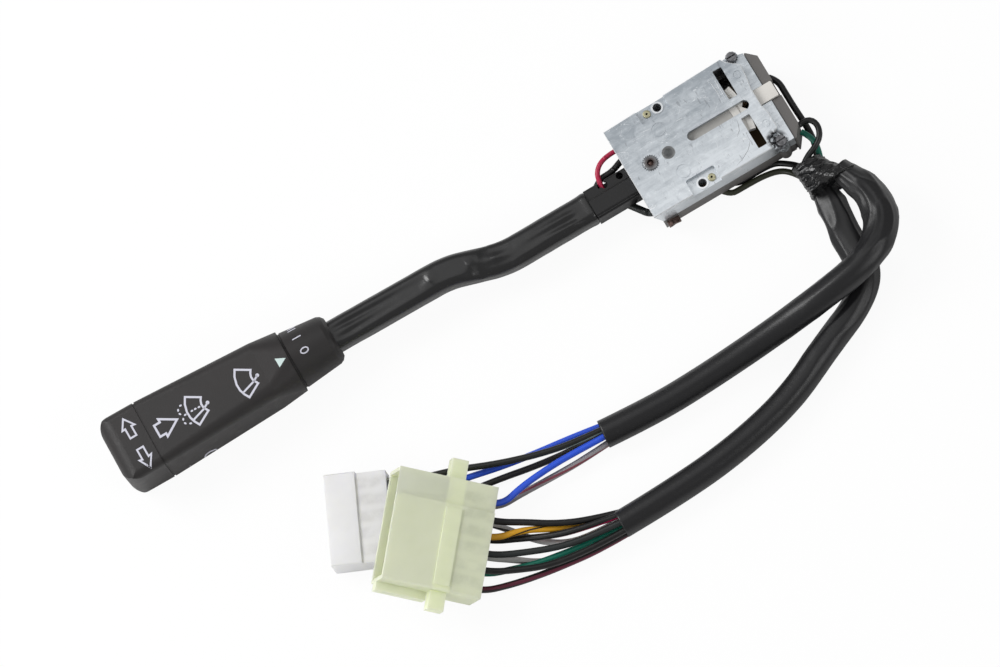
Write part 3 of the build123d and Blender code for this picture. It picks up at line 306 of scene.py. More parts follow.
@dataclass(frozen=True)
class CastZinc:
    """Die-cast zinc: cloudy, streaked and scratched, with painted light across it, painted highlights along its edges
    and round its fixing holes, and painted shade with grime round the low screw.
    """

    name: str = "zinc"
    pale: Colour = (0.70, 0.74, 0.775)
    dark: Colour = (0.34, 0.375, 0.41)
    holes: tuple[Flat, ...] = ((13.2, 18.5), (13.2, -17.0))
    # Middle of the painted shade and grime in the corner pocket by the low screw.
    shaded_grimy_pocket: Flat = (46.4, -17.4)

    def make(self) -> bpy.types.Material:
        """Build the material.

        Returns:
            The material.
        """
        r = Recipe(self.name)
        across = r.local((0.0, 0.0, 0.0), (0.0, 0.0, 0.0))["Y"]
        flow = r.cloud(34.0, 5.0, 0.6, curl=0.8)
        mottle = r.cloud(170.0, 6.0, 0.68, curl=1.4)
        fine = r.cloud(900.0, 4.0, 0.6)
        brushed = r.cloud(110.0, 4.0, 0.55, r.stretched((0.7, 6.0, 1.0)))
        # Painted light: the plate is painted lighter towards -Y and darker towards +Y.
        painted_light_across = r.ramp(across, -20.0, 20.0, 0.16, -0.10)
        shade = r.ramp(flow * 0.34 + mottle * 0.36 + brushed * 0.3 + painted_light_across, 0.36, 0.66)
        colour = r.mix(shade, self.dark, self.pale)
        scratch = abs(r.cloud(95.0, 2.0, 0.4, r.stretched((1.0, 3.2, 1.0)), 0.5) - 0.5) < 0.0035
        colour = r.mix(scratch * 0.5, colour, (0.88, 0.9, 0.92))
        nick = r.ramp(r.cloud(240.0, 3.0, 0.5, r.stretched((4.0, 1.0, 1.0))), 0.66, 0.7)
        colour = r.mix(nick * 0.45, colour, (0.2, 0.21, 0.23))
        # Painted highlight: faces that slope at about 45 degrees, the chamfers along the plate's edges, are painted
        # near white.
        edge = r.ramp(abs(r.upright() - 0.7), 0.06, 0.24, 1.0, 0.0)
        colour = r.mix(edge * 0.8, colour, (0.93, 0.94, 0.95))
        # Painted highlight: a bright ring is painted round each fixing hole.
        for x, y in self.holes:
            painted_hole_highlight = r.ramp(abs(r.distance(x, y) - 2.0), 0.2, 0.6, 1.0, 0.0)
            colour = r.mix(painted_hole_highlight * (0.35 + mottle * 0.4), colour, (0.95, 0.96, 0.97))
        # Partly painted shade and partly grime: the corner pocket round the low screw is darkened to near black in
        # specks and made rougher.
        pocket_shade_and_grime = r.ramp(r.distance(*self.shaded_grimy_pocket), 2.8, 4.6, 1.0, 0.0) * r.ramp(r.cloud(420.0, 5.0, 0.7), 0.40, 0.50)
        colour = r.mix(pocket_shade_and_grime, colour, (0.022, 0.022, 0.024))
        r.bump(mottle * 0.35 + fine * 0.4 + scratch * 0.3, 0.00012, 0.7)
        return r.finish(Base_Color=colour, Roughness=0.27 + mottle * 0.16 + pocket_shade_and_grime * 0.3, Metallic=0.86)


@dataclass(frozen=True)
class Metal:
    """Turned, plated or brushed metal, with painted highlights on faces that slope at about 45 degrees."""

    name: str
    colour: Colour
    rough: float = 0.35
    patina: Colour = (0.16, 0.15, 0.14)
    wear: float = 0.35

    def make(self) -> bpy.types.Material:
        """Build the material.

        Returns:
            The material.
        """
        r = Recipe(self.name)
        blotch = r.ramp(r.cloud(900.0, 5.0, 0.6), 0.42, 0.66)
        fine = r.cloud(3200.0, 3.0)
        # Painted highlight: faces that slope at about 45 degrees, along edges, are painted lighter.
        edge = r.ramp(abs(r.upright() - 0.7), 0.05, 0.25, 1.0, 0.0)
        colour = r.mix(blotch * self.wear, self.colour, self.patina)
        colour = r.mix(edge * 0.4, colour, tuple(min(1.0, c * 1.7 + 0.06) for c in self.colour))
        r.bump(fine + blotch * 0.4, 0.00004, 0.6)
        return r.finish(Base_Color=colour, Roughness=self.rough + blotch * 0.2, Metallic=0.9)


@dataclass(frozen=True)
class Turned:
    """Head of a rivet or stud, with turning marks and tone that changes with radius."""

    name: str
    centre: Flat
    core: Colour
    rim: Colour
    radius: float

    def make(self) -> bpy.types.Material:
        """Build the material.

        Returns:
            The material.
        """
        r = Recipe(self.name)
        out = r.distance(*self.centre)
        blotch = r.ramp(r.cloud(800.0, 5.0, 0.65), 0.45, 0.62)
        tone = r.ramp(out, self.radius * 0.55, self.radius * 0.95)
        colour = r.mix(tone, self.core, self.rim)
        colour = r.mix(blotch * 0.5, colour, tuple(c * 0.3 for c in self.rim))
        marks = r.node("ShaderNodeMath", {"operation": "SINE"}, {0: out * 26.0})
        r.bump(marks * 0.4 + r.cloud(2600.0, 3.0), 0.00003, 0.7)
        return r.finish(Base_Color=colour, Roughness=0.36 + blotch * 0.2, Metallic=0.9)


@dataclass(frozen=True)
class Moulding:
    """Moulded plastic with an eroded grain."""

    name: str
    colour: Colour
    rough: float = 0.5
    grain: float = 2600.0
    depth: float = 0.00005
    cast: Colour = (0.0, 0.0, 0.0)

    def make(self) -> bpy.types.Material:
        """Build the material.

        Returns:
            The material.
        """
        r = Recipe(self.name)
        grain = r.cloud(self.grain, 2.0, 0.5)
        cloudy = r.ramp(r.cloud(45.0, 3.0), 0.35, 0.65)
        warm = tuple(min(1.0, c * 1.12 + k) for c, k in zip(self.colour, self.cast))
        rubbed = r.ramp(r.cloud(260.0, 4.0), 0.5, 0.75)
        colour = r.mix(cloudy, self.colour, warm)
        r.bump(grain + rubbed * 0.15, self.depth, 0.7)
        return r.finish(Base_Color=colour, Roughness=self.rough + grain * 0.08 - rubbed * 0.06, Specular_IOR_Level=0.4)


@dataclass(frozen=True)
class Rubbery:
    """Heat-shrink, PVC sleeving or tape: black, satin to glossy, with soft creases."""

    name: str
    colour: Colour
    rough: float
    crease: float
    scale: float
    coat: float = 0.0
    shine: float = 0.4

    def make(self) -> bpy.types.Material:
        """Build the material.

        Returns:
            The material.
        """
        r = Recipe(self.name)
        soft = r.cloud(self.scale, 3.0, 0.5)
        fine = r.cloud(1500.0, 3.0, 0.6)
        dust = r.ramp(r.cloud(700.0, 6.0, 0.7), 0.6, 0.85)
        colour = r.mix(dust * 0.25, self.colour, tuple(c + 0.05 for c in self.colour))
        rough = self.rough + fine * 0.1 + dust * 0.15 - 0.05
        r.bump(soft * self.crease + fine * 0.03, 0.001, 0.5)
        return r.finish(Base_Color=colour, Roughness=rough, Coat_Weight=self.coat, Coat_Roughness=0.2,
                        Specular_IOR_Level=self.shine)


@dataclass(frozen=True)
class Insulation:
    """Lead insulation, with a tracer stripe along it where tracer is given."""

    name: str
    colour: Colour
    tracer: Colour | None = None
    width: float = 0.07

    def make(self) -> bpy.types.Material:
        """Build the material; the stripe reads the tube's own UV map.

        Returns:
            The material.
        """
        r = Recipe(self.name)
        soil = r.ramp(r.cloud(500.0, 5.0, 0.6), 0.45, 0.8)
        colour = r.mix(soil * 0.18, self.colour, tuple(c * 0.6 + 0.01 for c in self.colour))
        if self.tracer:
            uv = r.node("ShaderNodeUVMap", {"uv_map": "along"}, {})
            around = r.node("ShaderNodeSeparateXYZ", {}, {"Vector": uv}, "Y")
            wobble = (r.cloud(160.0, 2.0) - 0.5) * 0.03
            colour = r.mix(abs(around - 0.5 + wobble) < self.width, colour, self.tracer)
        r.bump(r.cloud(1800.0, 2.0), 0.00002, 0.5)
        return r.finish(Base_Color=colour, Roughness=0.34 + soil * 0.15, Coat_Weight=0.1, Coat_Roughness=0.25,
                        Specular_IOR_Level=0.35)


@dataclass(frozen=True)
class Nylon:
    """Translucent natural nylon housing; its cell walls, terminals and latch band show through, and its upright faces
    are painted lighter.
    """

    name: str
    colour: Colour
    deep: Colour
    bright: Colour
    origin: Point
    turn: Point
    half_pitch: float
    shift: float
    block: float
    band: Flat = (1.0, 2.0)
    clear: float = 0.12

    def make(self) -> bpy.types.Material:
        """Build the material; block is where the cell block starts and band is the latch band, both along X.

        Returns:
            The material.
        """
        r = Recipe(self.name)
        at = r.local(self.origin, self.turn)
        milk = r.ramp(r.cloud(48.0, 3.0), 0.36, 0.64)
        haze = r.cloud(190.0, 4.0, 0.6)
        inside = r.ramp(at["X"], self.block - 0.6, self.block + 0.6)
        wall = r.node("ShaderNodeMath", {"operation": "PINGPONG"}, {0: at["Y"] + self.shift, 1: self.half_pitch})
        cell = r.ramp(wall, 0.5, 1.9)
        colour = r.mix(milk * 0.4 + haze * 0.25, self.colour, self.deep)
        smudge = cell * inside * r.ramp(haze + milk * 0.25, 0.45, 0.78)
        colour = r.mix(smudge * 0.55, colour, tuple(c * 0.84 for c in self.deep))
        start, end = self.band
        half = (end - start) / 2
        near = r.ramp(abs(at["X"] - (start + end) / 2), half - 0.3, half + 0.8, 1.0, 0.0)
        colour = r.mix(near * 0.75, colour, self.bright)
        # Painted light: faces that stand upright are painted lighter.
        sides = r.ramp(abs(r.upright()), 0.2, 0.75, 1.0, 0.0)
        colour = r.mix(sides * 0.35, colour, self.bright)
        r.bump(r.cloud(1400.0, 2.0) + cell * inside * 0.3, 0.00005, 0.5)
        return r.finish(Base_Color=colour, Roughness=0.38 + haze * 0.14, Subsurface_Weight=0.5,
                        Subsurface_Scale=0.004, Subsurface_Radius=(1.0, 1.0, 0.8),
                        Transmission_Weight=self.clear, IOR=1.5)


@dataclass(frozen=True)
class Ink:
    """Pad-printed ink."""

    name: str
    colour: Colour

    def make(self) -> bpy.types.Material:
        """Build the material, a little thin where the pad missed.

        Returns:
            The material.
        """
        r = Recipe(self.name)
        thin = r.ramp(r.cloud(1700.0, 3.0), 0.55, 0.8)
        colour = r.mix(thin * 0.35, self.colour, tuple(c * 0.7 for c in self.colour))
        return r.finish(Base_Color=colour, Roughness=0.5 + thin * 0.1)


class Finish(Enum):
    """Every finish of the switch."""

    ZINC = CastZinc()
    STEEL = Metal("steel", (0.30, 0.30, 0.31), 0.4)
    SCREW = Metal("screw_steel", (0.20, 0.20, 0.21), 0.33, (0.02, 0.02, 0.021), 0.6)
    RIVET = Turned("rivet_steel", (0.0, 0.0), (0.10, 0.085, 0.083), (0.27, 0.28, 0.29), 2.9)
    STUD = Turned("stud_steel", (8.0, 0.0), (0.105, 0.108, 0.11), (0.23, 0.235, 0.235), 2.6)
    SPRING = Metal("spring_steel", (0.30, 0.30, 0.31), 0.3)
    CHROMATE = Metal("yellow_chromate", (0.46, 0.44, 0.30), 0.34, (0.24, 0.22, 0.11), 0.6)
    BRASS = Metal("brass", (0.72, 0.55, 0.25), 0.32)
    COPPER = Metal("copper", (0.125, 0.082, 0.072), 0.46, (0.03, 0.022, 0.02), 0.8)
    TIN = Metal("tin", (0.56, 0.56, 0.55), 0.4)
    BROWN_PLASTIC = Moulding("brown_plastic", (0.118, 0.112, 0.108), 0.42, 1400.0, 0.00008)
    BOARD = Moulding("board", (0.26, 0.17, 0.09), 0.6)
    ACETAL = Moulding("white_acetal", (0.64, 0.62, 0.585), 0.4, 900.0, 0.00003)
    CARRIER = Moulding("carrier", (0.40, 0.39, 0.37), 0.45, 1200.0)
    KNOB = Moulding("knob", (0.0155, 0.0142, 0.0142), 0.47, 3200.0, 0.00007, (0.001, 0.0, 0.0))
    BLACK_PLASTIC = Moulding("black_plastic", (0.022, 0.022, 0.022), 0.5)
    ROOT = Moulding("lever_root", (0.006, 0.006, 0.0065), 0.34, 900.0, 0.00006)
    HEAT_SHRINK = Rubbery("heat_shrink", (0.0045, 0.0045, 0.005), 0.3, 0.12, 60.0, 0.3, 0.5)
    SLEEVING = Rubbery("pvc_sleeve", (0.0095, 0.0095, 0.0105), 0.36, 0.35, 130.0)
    TAPE = Rubbery("tape", (0.005, 0.005, 0.0055), 0.2, 0.5, 520.0, 0.3)
    NATURAL = Nylon("clear_white", (0.86, 0.855, 0.865), (0.76, 0.75, 0.745), (0.93, 0.93, 0.95),
                    (-154.95, -64.56, 0.0), (0.0, 0.0, -24.2), 3.3, 3.3, -12.0)
    YELLOWED = Nylon("clear_yellow", (0.80, 0.835, 0.63), (0.70, 0.74, 0.545), (0.88, 0.94, 0.64),
                     (-132.5, -91.8, 0.3), (0.0, 24.0, -39.1), 3.3, 0.0, -19.4, (-19.4, -13.0))
    INK = Ink("ink", (0.56, 0.56, 0.64))
    MINT = Ink("mint_ink", (0.56, 0.68, 0.66))
    SCRIBE = Metal("scribe", (0.12, 0.125, 0.13), 0.5)
    LEAD_BLACK = Insulation("lead_black", (0.006, 0.006, 0.006))
    LEAD_BLUE = Insulation("lead_blue", (0.022, 0.085, 0.62))
    LEAD_GREEN = Insulation("lead_green", (0.004, 0.15, 0.10))
    LEAD_RED = Insulation("lead_red", (0.40, 0.012, 0.055))
    LEAD_YELLOW = Insulation("lead_yellow", (0.60, 0.30, 0.012), (0.02, 0.015, 0.01), 0.04)
    LEAD_PALE = Insulation("lead_pale", (0.56, 0.55, 0.545), (0.05, 0.05, 0.05), 0.05)
    LEAD_SLATE = Insulation("lead_slate", (0.016, 0.019, 0.019), (0.03, 0.06, 0.05), 0.08)
    LEAD_OLIVE = Insulation("lead_olive", (0.028, 0.031, 0.017))
    LEAD_GREY = Insulation("lead_grey", (0.26, 0.245, 0.255), (0.20, 0.05, 0.07), 0.06)
    BLACK_GREEN = Insulation("lead_black_green", (0.008, 0.009, 0.008), (0.20, 0.25, 0.18), 0.12)
    BLACK_BROWN = Insulation("lead_black_brown", (0.012, 0.011, 0.011), (0.05, 0.025, 0.015), 0.07)
    BLACK_RED = Insulation("lead_black_red", (0.008, 0.008, 0.008), (0.34, 0.01, 0.07), 0.13)
    BLACK_MAROON = Insulation("lead_maroon", (0.015, 0.012, 0.013), (0.10, 0.012, 0.03), 0.09)

    def material(self) -> bpy.types.Material:
        """The finish's material, built on first use."""
        found = bpy.data.materials.get(self.value.name + "_finish")
        return found or self.value.make()


# ---------------------------------------------------------------- meshes

def placed(name: str, data: bpy.types.ID) -> bpy.types.Object:
    """Link a mesh, curve, lamp or camera to the scene as an object at the origin.

    Args:
        name: the object's name.
        data: what it holds.

    Returns:
        The new object.
    """
    piece = bpy.data.objects.new(name, data)
    bpy.context.scene.collection.objects.link(piece)
    return piece


def shade(mesh: bpy.types.Mesh, smooth: bool = True) -> None:
    """Shade every face of a mesh smooth or flat."""
    mesh.polygons.foreach_set("use_smooth", [smooth] * len(mesh.polygons))


def welded(mesh: bpy.types.Mesh, gap: float) -> bmesh.types.BMesh:
    """Make a working copy of a mesh with its doubles merged.

    Args:
        mesh: the mesh, which is left alone.
        gap: corners nearer than this, in metres, are one.

    Returns:
        The working mesh.
    """
    shape = bmesh.new()
    shape.from_mesh(mesh)
    bmesh.ops.remove_doubles(shape, verts=shape.verts, dist=gap)
    return shape


def shaped(name: str, shape: bmesh.types.BMesh, smooth: bool = True) -> bpy.types.Object:
    """Turn a working mesh into a piece whose faces point outwards.

    Args:
        name: the piece's name.
        shape: the working mesh, which is freed.
        smooth: whether faces are shaded smooth.

    Returns:
        The new piece.
    """
    bmesh.ops.recalc_face_normals(shape, faces=shape.faces)
    mesh = bpy.data.meshes.new(name)
    shape.to_mesh(mesh)
    shape.free()
    shade(mesh, smooth)
    return placed(name, mesh)


def mesh_piece(name: str, vertices: Iterable[Vector], faces: Iterable[Sequence[int]],
               smooth: bool = True) -> bpy.types.Object:
    """Make a mesh object at the origin.

    Args:
        name: the piece's name.
        vertices: corners, in metres.
        faces: corner numbers of each face.
        smooth: whether faces are shaded smooth.

    Returns:
        The new object, linked to the scene.
    """
    mesh = bpy.data.meshes.new(name)
    mesh.from_pydata([tuple(v) for v in vertices], [], [tuple(f) for f in faces])
    shade(mesh, smooth)
    mesh.update()
    return placed(name, mesh)


def dress(piece: bpy.types.Object, finish: Finish) -> bpy.types.Object:
    """Give every face of a piece one finish.

    Args:
        piece: the piece.
        finish: its finish.

    Returns:
        The same piece.
    """
    piece.data.materials.clear()
    piece.data.materials.append(finish.material())
    return piece


@dataclass(frozen=True)
class Route:
    """A smooth line with the cord's route points as its control points, and the step along it in millimetres."""

    points: Sequence[Point]
    spacing: float

    def spline(self, name: str) -> list[Vector]:
        """Points along the route's NURBS spline, in metres.

        Args:
            name: name of the throwaway curve.

        Returns:
            Points at even steps.
        """
        curve = bpy.data.curves.new(name, "CURVE")
        curve.dimensions = "3D"
        line = curve.splines.new("NURBS")
        line.points.add(len(self.points) - 1)
        for point, place in zip(line.points, self.points):
            point.co = (*(c * MM for c in place), 1.0)
        line.order_u = 3
        line.use_endpoint_u = True
        line.resolution_u = 24
        holder = placed(name, curve)
        bpy.context.view_layer.update()
        depsgraph = bpy.context.evaluated_depsgraph_get()
        mesh = bpy.data.meshes.new_from_object(holder.evaluated_get(depsgraph))
        raw = [v.co.copy() for v in mesh.vertices]
        bpy.data.objects.remove(holder)
        bpy.data.curves.remove(curve)
        bpy.data.meshes.remove(mesh)
        return even_steps(raw, self.spacing * MM)


def even_steps(raw: Sequence[Vector], step: float) -> list[Vector]:
    """Walk a line of points in even steps.

    Args:
        raw: the line's points.
        step: length of a step, which is rounded to fit the line.

    Returns:
        Points an even step apart.
    """
    lengths = [0.0]
    for before, here in zip(raw, raw[1:]):
        lengths.append(lengths[-1] + (here - before).length)
    count = max(2, round(lengths[-1] / step))
    walked = []
    index = 0
    for number in range(count + 1):
        target = lengths[-1] * number / count
        while index < len(raw) - 2 and lengths[index + 1] < target:
            index += 1
        span = max(lengths[index + 1] - lengths[index], 1e-12)
        walked.append(raw[index].lerp(raw[index + 1], (target - lengths[index]) / span))
    return walked


def length_of(points: Sequence[Vector]) -> float:
    """Length of a line of points."""
    return sum((b - a).length for a, b in zip(points, points[1:]))


def axes_along(line: Sequence[Vector]) -> list[tuple[Vector, Vector]]:
    """Carry a pair of axes along a line without twist.

    Args:
        line: the line's points.

    Returns:
        Side and top at each point.
    """
    found = []
    top = Vector((0, 0, 1))
    for index in range(len(line)):
        direction = (line[min(index + 1, len(line) - 1)] - line[max(index - 1, 0)]).normalized()
        side = direction.cross(top).normalized()
        top = side.cross(direction).normalized()
        found.append((side, top))
    return found


@dataclass(frozen=True)
class Tube:
    """A closed tube along a line, in metres, with a UV map whose U is metres along and V the turn around.

    A shape gives a factor of the radius, and a twist turns the map by that angle over the length. A hollow is the
    depth of the open far end, and the wall is its thickness there.
    """

    name: str
    line: Sequence[Vector]
    radius: float
    sides: int = 16
    shape: Shape | None = None
    twist: float = 0.0
    hollow: float = 0.0
    wall: float = 0.0006

    def build(self) -> bpy.types.Object:
        """Make the tube.

        Returns:
            The new piece.
        """
        total = length_of(self.line)
        vertices: list[Vector] = []
        stations: list[float] = []
        travelled = 0.0
        for index, (centre, (side, top)) in enumerate(zip(self.line, axes_along(self.line))):
            travelled += (centre - self.line[index - 1]).length if index else 0.0
            stations.append(travelled)
            for corner in range(self.sides):
                turn = math.tau * corner / self.sides
                angle = turn + self.twist * travelled / total
                outwards = side * math.cos(angle) + top * math.sin(angle)
                reach = self.radius
                if self.shape:
                    reach *= self.shape(travelled / total, angle)
                vertices.append(centre + outwards * reach)
        rings = len(self.line)
        faces = [self._quad(ring, corner) for ring in range(rings - 1) for corner in range(self.sides)]
        if self.hollow:
            rings = self._bore(vertices, stations)
            faces += [self._quad(ring, corner) for ring in range(len(self.line) - 1, rings - 1)
                      for corner in range(self.sides)]
        faces.append(tuple(reversed(range(self.sides))))
        faces.append(tuple(range((rings - 1) * self.sides, rings * self.sides)))
        faces = [tuple(reversed(face)) for face in faces]
        piece = mesh_piece(self.name, vertices, faces)
        self._map(piece, stations)
        return piece

    def _bore(self, vertices: list[Vector], stations: list[float]) -> int:
        """Turn the far end inwards, to a blind bore.

        Args:
            vertices: the tube's corners, to which the bore's are added.
            stations: distance of each ring along the line.

        Returns:
            The number of rings.
        """
        first = len(self.line) - 1
        rings = len(self.line)
        index = first
        while index > 0 and stations[first] - stations[index] < self.hollow:
            for corner in range(self.sides):
                outer = vertices[index * self.sides + corner]
                inwards = (self.line[index] - outer).normalized()
                vertices.append(outer + inwards * self.wall)
            rings += 1
            index -= 2
        return rings

    def _quad(self, ring: int, corner: int) -> tuple[int, int, int, int]:
        """One face between two rings.

        Args:
            ring: number of the first ring.
            corner: number of the face's first corner round it.

        Returns:
            The face's corner numbers.
        """
        after = (corner + 1) % self.sides
        low = ring * self.sides
        high = low + self.sides
        return (low + corner, high + corner, high + after, low + after)

    def _map(self, piece: bpy.types.Object, stations: list[float]) -> None:
        """Write the UV map.

        Args:
            piece: the tube.
            stations: distance of each ring along the line.
        """
        layer = piece.data.uv_layers.new(name="along")
        for polygon in piece.data.polygons:
            corners = [piece.data.loops[i].vertex_index for i in polygon.loop_indices]
            turns = [(v % self.sides) / self.sides for v in corners]
            wraps = max(turns) - min(turns) > 0.5
            for loop, vertex, turn in zip(polygon.loop_indices, corners, turns):
                ring = min(vertex // self.sides, len(stations) - 1)
                around = turn + 1.0 if wraps and turn < 0.5 else turn
                layer.data[loop].uv = (stations[ring], around)


def rumple(place: Vector, scale: float, seed: float) -> float:
    """Smooth noise from about -1 to 1 at that many waves a metre."""
    return noise.noise(place * scale + Vector((seed, seed * 0.7, -seed)))


def furrow(place: Vector, scale: float, seed: float) -> float:
    """Noise from 0 to 1 with sharp crests at that many waves a metre."""
    return (1.0 - abs(rumple(place, scale, seed))) ** 4


def reshape(source: bpy.types.Object, name: str, cell: float, shift: Shift) -> bpy.types.Object:
    """Make a finely meshed, worked copy of a node's shape.

    Args:
        source: the CAD node, which is left alone.
        name: the new piece's name.
        cell: edge length of the new mesh, in millimetres.
        shift: millimetres to move a vertex outwards, from its place in millimetres and its normal.

    Returns:
        The new piece.
    """
    holder = placed(name + "_source", source.data.copy())
    shape = welded(holder.data, WELD)
    shape.to_mesh(holder.data)
    shape.free()
    remesh = holder.modifiers.new("remesh", "REMESH")
    remesh.mode = "VOXEL"
    remesh.voxel_size = cell * MM
    soften = holder.modifiers.new("soften", "SMOOTH")
    soften.factor = 0.5
    soften.iterations = 4
    mesh = plain_mesh(holder, name)
    moved = []
    for vertex in mesh.vertices:
        place = vertex.co + vertex.normal * shift(vertex.co / MM, vertex.normal) * MM
        place.z = max(place.z, BENCH_GAP * MM)
        moved.append(place)
    for vertex, place in zip(mesh.vertices, moved):
        vertex.co = place
    shade(mesh)
    mesh.update()
    return placed(name, mesh)


def plain_mesh(holder: bpy.types.Object, name: str) -> bpy.types.Mesh:
    """Evaluate an object's modifiers into a mesh and remove the object.

    Args:
        holder: the object.
        name: the new mesh's name.

    Returns:
        The new mesh.
    """
    bpy.context.view_layer.update()
    depsgraph = bpy.context.evaluated_depsgraph_get()
    mesh = bpy.data.meshes.new_from_object(holder.evaluated_get(depsgraph))
    mesh.name = name
    source = holder.data
    bpy.data.objects.remove(holder)
    bpy.data.meshes.remove(source)
    return mesh


@dataclass(frozen=True)
class Crease:
    """A soft ridge (height above 0) or furrow (below 0) seen from above, fading to its end, in millimetres."""

    start: Flat
    end: Flat
    width: float
    height: float

    def at(self, place: Vector) -> float:
        """Height at a place.

        Args:
            place: the place, in millimetres.

        Returns:
            Millimetres outwards.
        """
        first, last = Vector(self.start), Vector(self.end)
        here = Vector((place.x, place.y))
        run = last - first
        share = min(1.0, max(0.0, (here - first).dot(run) / run.length_squared))
        away = (here - first.lerp(last, share)).length
        fade = min(1.0, 0.35 + 4.0 * share) * (1.0 - 0.8 * share)
        reach = self.width * (1.0 + 0.5 * share)
        return self.height * fade * math.exp(-((away / reach) ** 2))


@dataclass(frozen=True)
class ToothRing:
    """A ring of small pressed teeth in millimetres, made by a Geometry Nodes tree."""

    name: str
    centre: Point
    radius: float
    count: int
    foot: float
    tall: float
    finish: Finish
    seed: int = 5

    def build(self) -> bpy.types.Object:
        """Make the ring as a plain mesh in place.

        Returns:
            The new piece.
        """
        holder = placed(self.name + "_seed", bpy.data.meshes.new(self.name + "_seed"))
        modifier = holder.modifiers.new("teeth", "NODES")
        tree = self._tree()
        modifier.node_group = tree
        values = {"Count": self.count, "Radius": self.radius * MM, "Foot": self.foot * MM, "Height": self.tall * MM,
                  "Material": self.finish.material()}
        for item in tree.interface.items_tree:
            if item.in_out == "INPUT" and item.name in values:
                modifier[item.identifier] = values[item.name]
        made = plain_mesh(holder, self.name)
        made.transform(Matrix.Translation(Vector(self.centre) * MM))
        bpy.data.node_groups.remove(tree)
        LOG.info("%s: %d teeth, %d faces", self.name, self.count, len(made.polygons))
        return dress(placed(self.name, made), self.finish)

    def _tree(self) -> bpy.types.NodeTree:
        """Points on a circle, a tooth on each turned outwards, realised and given the material.

        Returns:
            The node tree.
        """
        tree = bpy.data.node_groups.new("tooth_ring", "GeometryNodeTree")
        for label, kind in (("Count", "NodeSocketInt"), ("Radius", "NodeSocketFloat"), ("Foot", "NodeSocketFloat"),
                            ("Height", "NodeSocketFloat"), ("Material", "NodeSocketMaterial")):
            tree.interface.new_socket(label, in_out="INPUT", socket_type=kind)
        tree.interface.new_socket("Geometry", in_out="OUTPUT", socket_type="NodeSocketGeometry")
        nodes, link = tree.nodes, tree.links.new
        given = nodes.new("NodeGroupInput")
        circle = nodes.new("GeometryNodeMeshCircle")
        link(given.outputs["Count"], circle.inputs["Vertices"])
        link(given.outputs["Radius"], circle.inputs["Radius"])
        tooth = nodes.new("GeometryNodeMeshCone")
        tooth.inputs["Vertices"].default_value = 4
        link(given.outputs["Foot"], tooth.inputs["Radius Bottom"])
        narrow = nodes.new("ShaderNodeMath")
        narrow.operation = "MULTIPLY"
        narrow.inputs[1].default_value = 0.45
        link(given.outputs["Foot"], narrow.inputs[0])
        link(narrow.outputs[0], tooth.inputs["Radius Top"])
        link(given.outputs["Height"], tooth.inputs["Depth"])
        place = nodes.new("GeometryNodeInputPosition")
        outwards = nodes.new("FunctionNodeAlignRotationToVector")
        outwards.axis = "X"
        link(place.outputs[0], outwards.inputs["Vector"])
        size = nodes.new("FunctionNodeRandomValue")
        size.data_type = "FLOAT_VECTOR"
        size.inputs["Min"].default_value = (0.85, 0.8, 0.7)
        size.inputs["Max"].default_value = (1.1, 1.15, 1.0)
        size.inputs["Seed"].default_value = self.seed
        spread = nodes.new("GeometryNodeInstanceOnPoints")
        link(circle.outputs["Mesh"], spread.inputs["Points"])
        link(tooth.outputs["Mesh"], spread.inputs["Instance"])
        link(outwards.outputs["Rotation"], spread.inputs["Rotation"])
        link(size.outputs["Value"], spread.inputs["Scale"])
        whole = nodes.new("GeometryNodeRealizeInstances")
        link(spread.outputs["Instances"], whole.inputs["Geometry"])
        paint = nodes.new("GeometryNodeSetMaterial")
        link(whole.outputs["Geometry"], paint.inputs["Geometry"])
        link(given.outputs["Material"], paint.inputs["Material"])
        result = nodes.new("NodeGroupOutput")
        link(paint.outputs["Geometry"], result.inputs["Geometry"])
        return tree


def lathed(name: str, profile: Outline, centre: Point, sides: int = 40) -> bpy.types.Object:
    """Turn a profile round an upright axis, all in millimetres.

    Args:
        name: the piece's name.
        profile: radius and height of each of its corners.
        centre: where the axis meets height 0.
        sides: faces in a turn.

    Returns:
        The new piece, closed by a disc at both ends.
    """
    vertices = []
    for radius, height in profile:
        for step in range(sides):
            angle = math.tau * step / sides
            corner = Vector((radius * math.cos(angle), radius * math.sin(angle), height))
            vertices.append((Vector(centre) + corner) * MM)
    faces = []
    for ring in range(len(profile) - 1):
        for step in range(sides):
            after = (step + 1) % sides
            low, high = ring * sides, (ring + 1) * sides
            faces.append((low + step, low + after, high + after, high + step))
    faces.append(tuple(reversed(range(sides))))
    faces.append(tuple(range((len(profile) - 1) * sides, len(profile) * sides)))
    return mesh_piece(name, vertices, faces)


def strips(name: str, lines: Sequence[Outline], width: float, low: float, high: float) -> bpy.types.Object:
    """Make narrow ridges with sloping sides along flat lines, all in millimetres.

    Args:
        name: the piece's name.
        lines: the ridges' middle lines.
        width: their width at the foot.
        low: height of the foot.
        high: height of the crest.

    Returns:
        The new piece.
    """
    vertices: list[Vector] = []
    faces: list[tuple[int, ...]] = []
    for line in lines:
        base = len(vertices)
        points = [Vector(p) for p in line]
        for index, point in enumerate(points):
            ahead = points[min(index + 1, len(points) - 1)] - points[max(index - 1, 0)]
            side = Vector((-ahead.y, ahead.x)).normalized()
            taper = 0.25 if index in (0, len(points) - 1) else 1.0
            for reach, height in ((-0.5, low), (-0.22, high), (0.22, high), (0.5, low)):
                flat = point + side * reach * width * taper
                vertices.append(Vector((flat.x, flat.y, height)) * MM)
        for index in range(len(points) - 1):
            for corner in range(3):
                a = base + index * 4 + corner
                faces.append((a, a + 4, a + 5, a + 1))
    return mesh_piece(name, vertices, faces, False)


# ---------------------------------------------------------------- stage

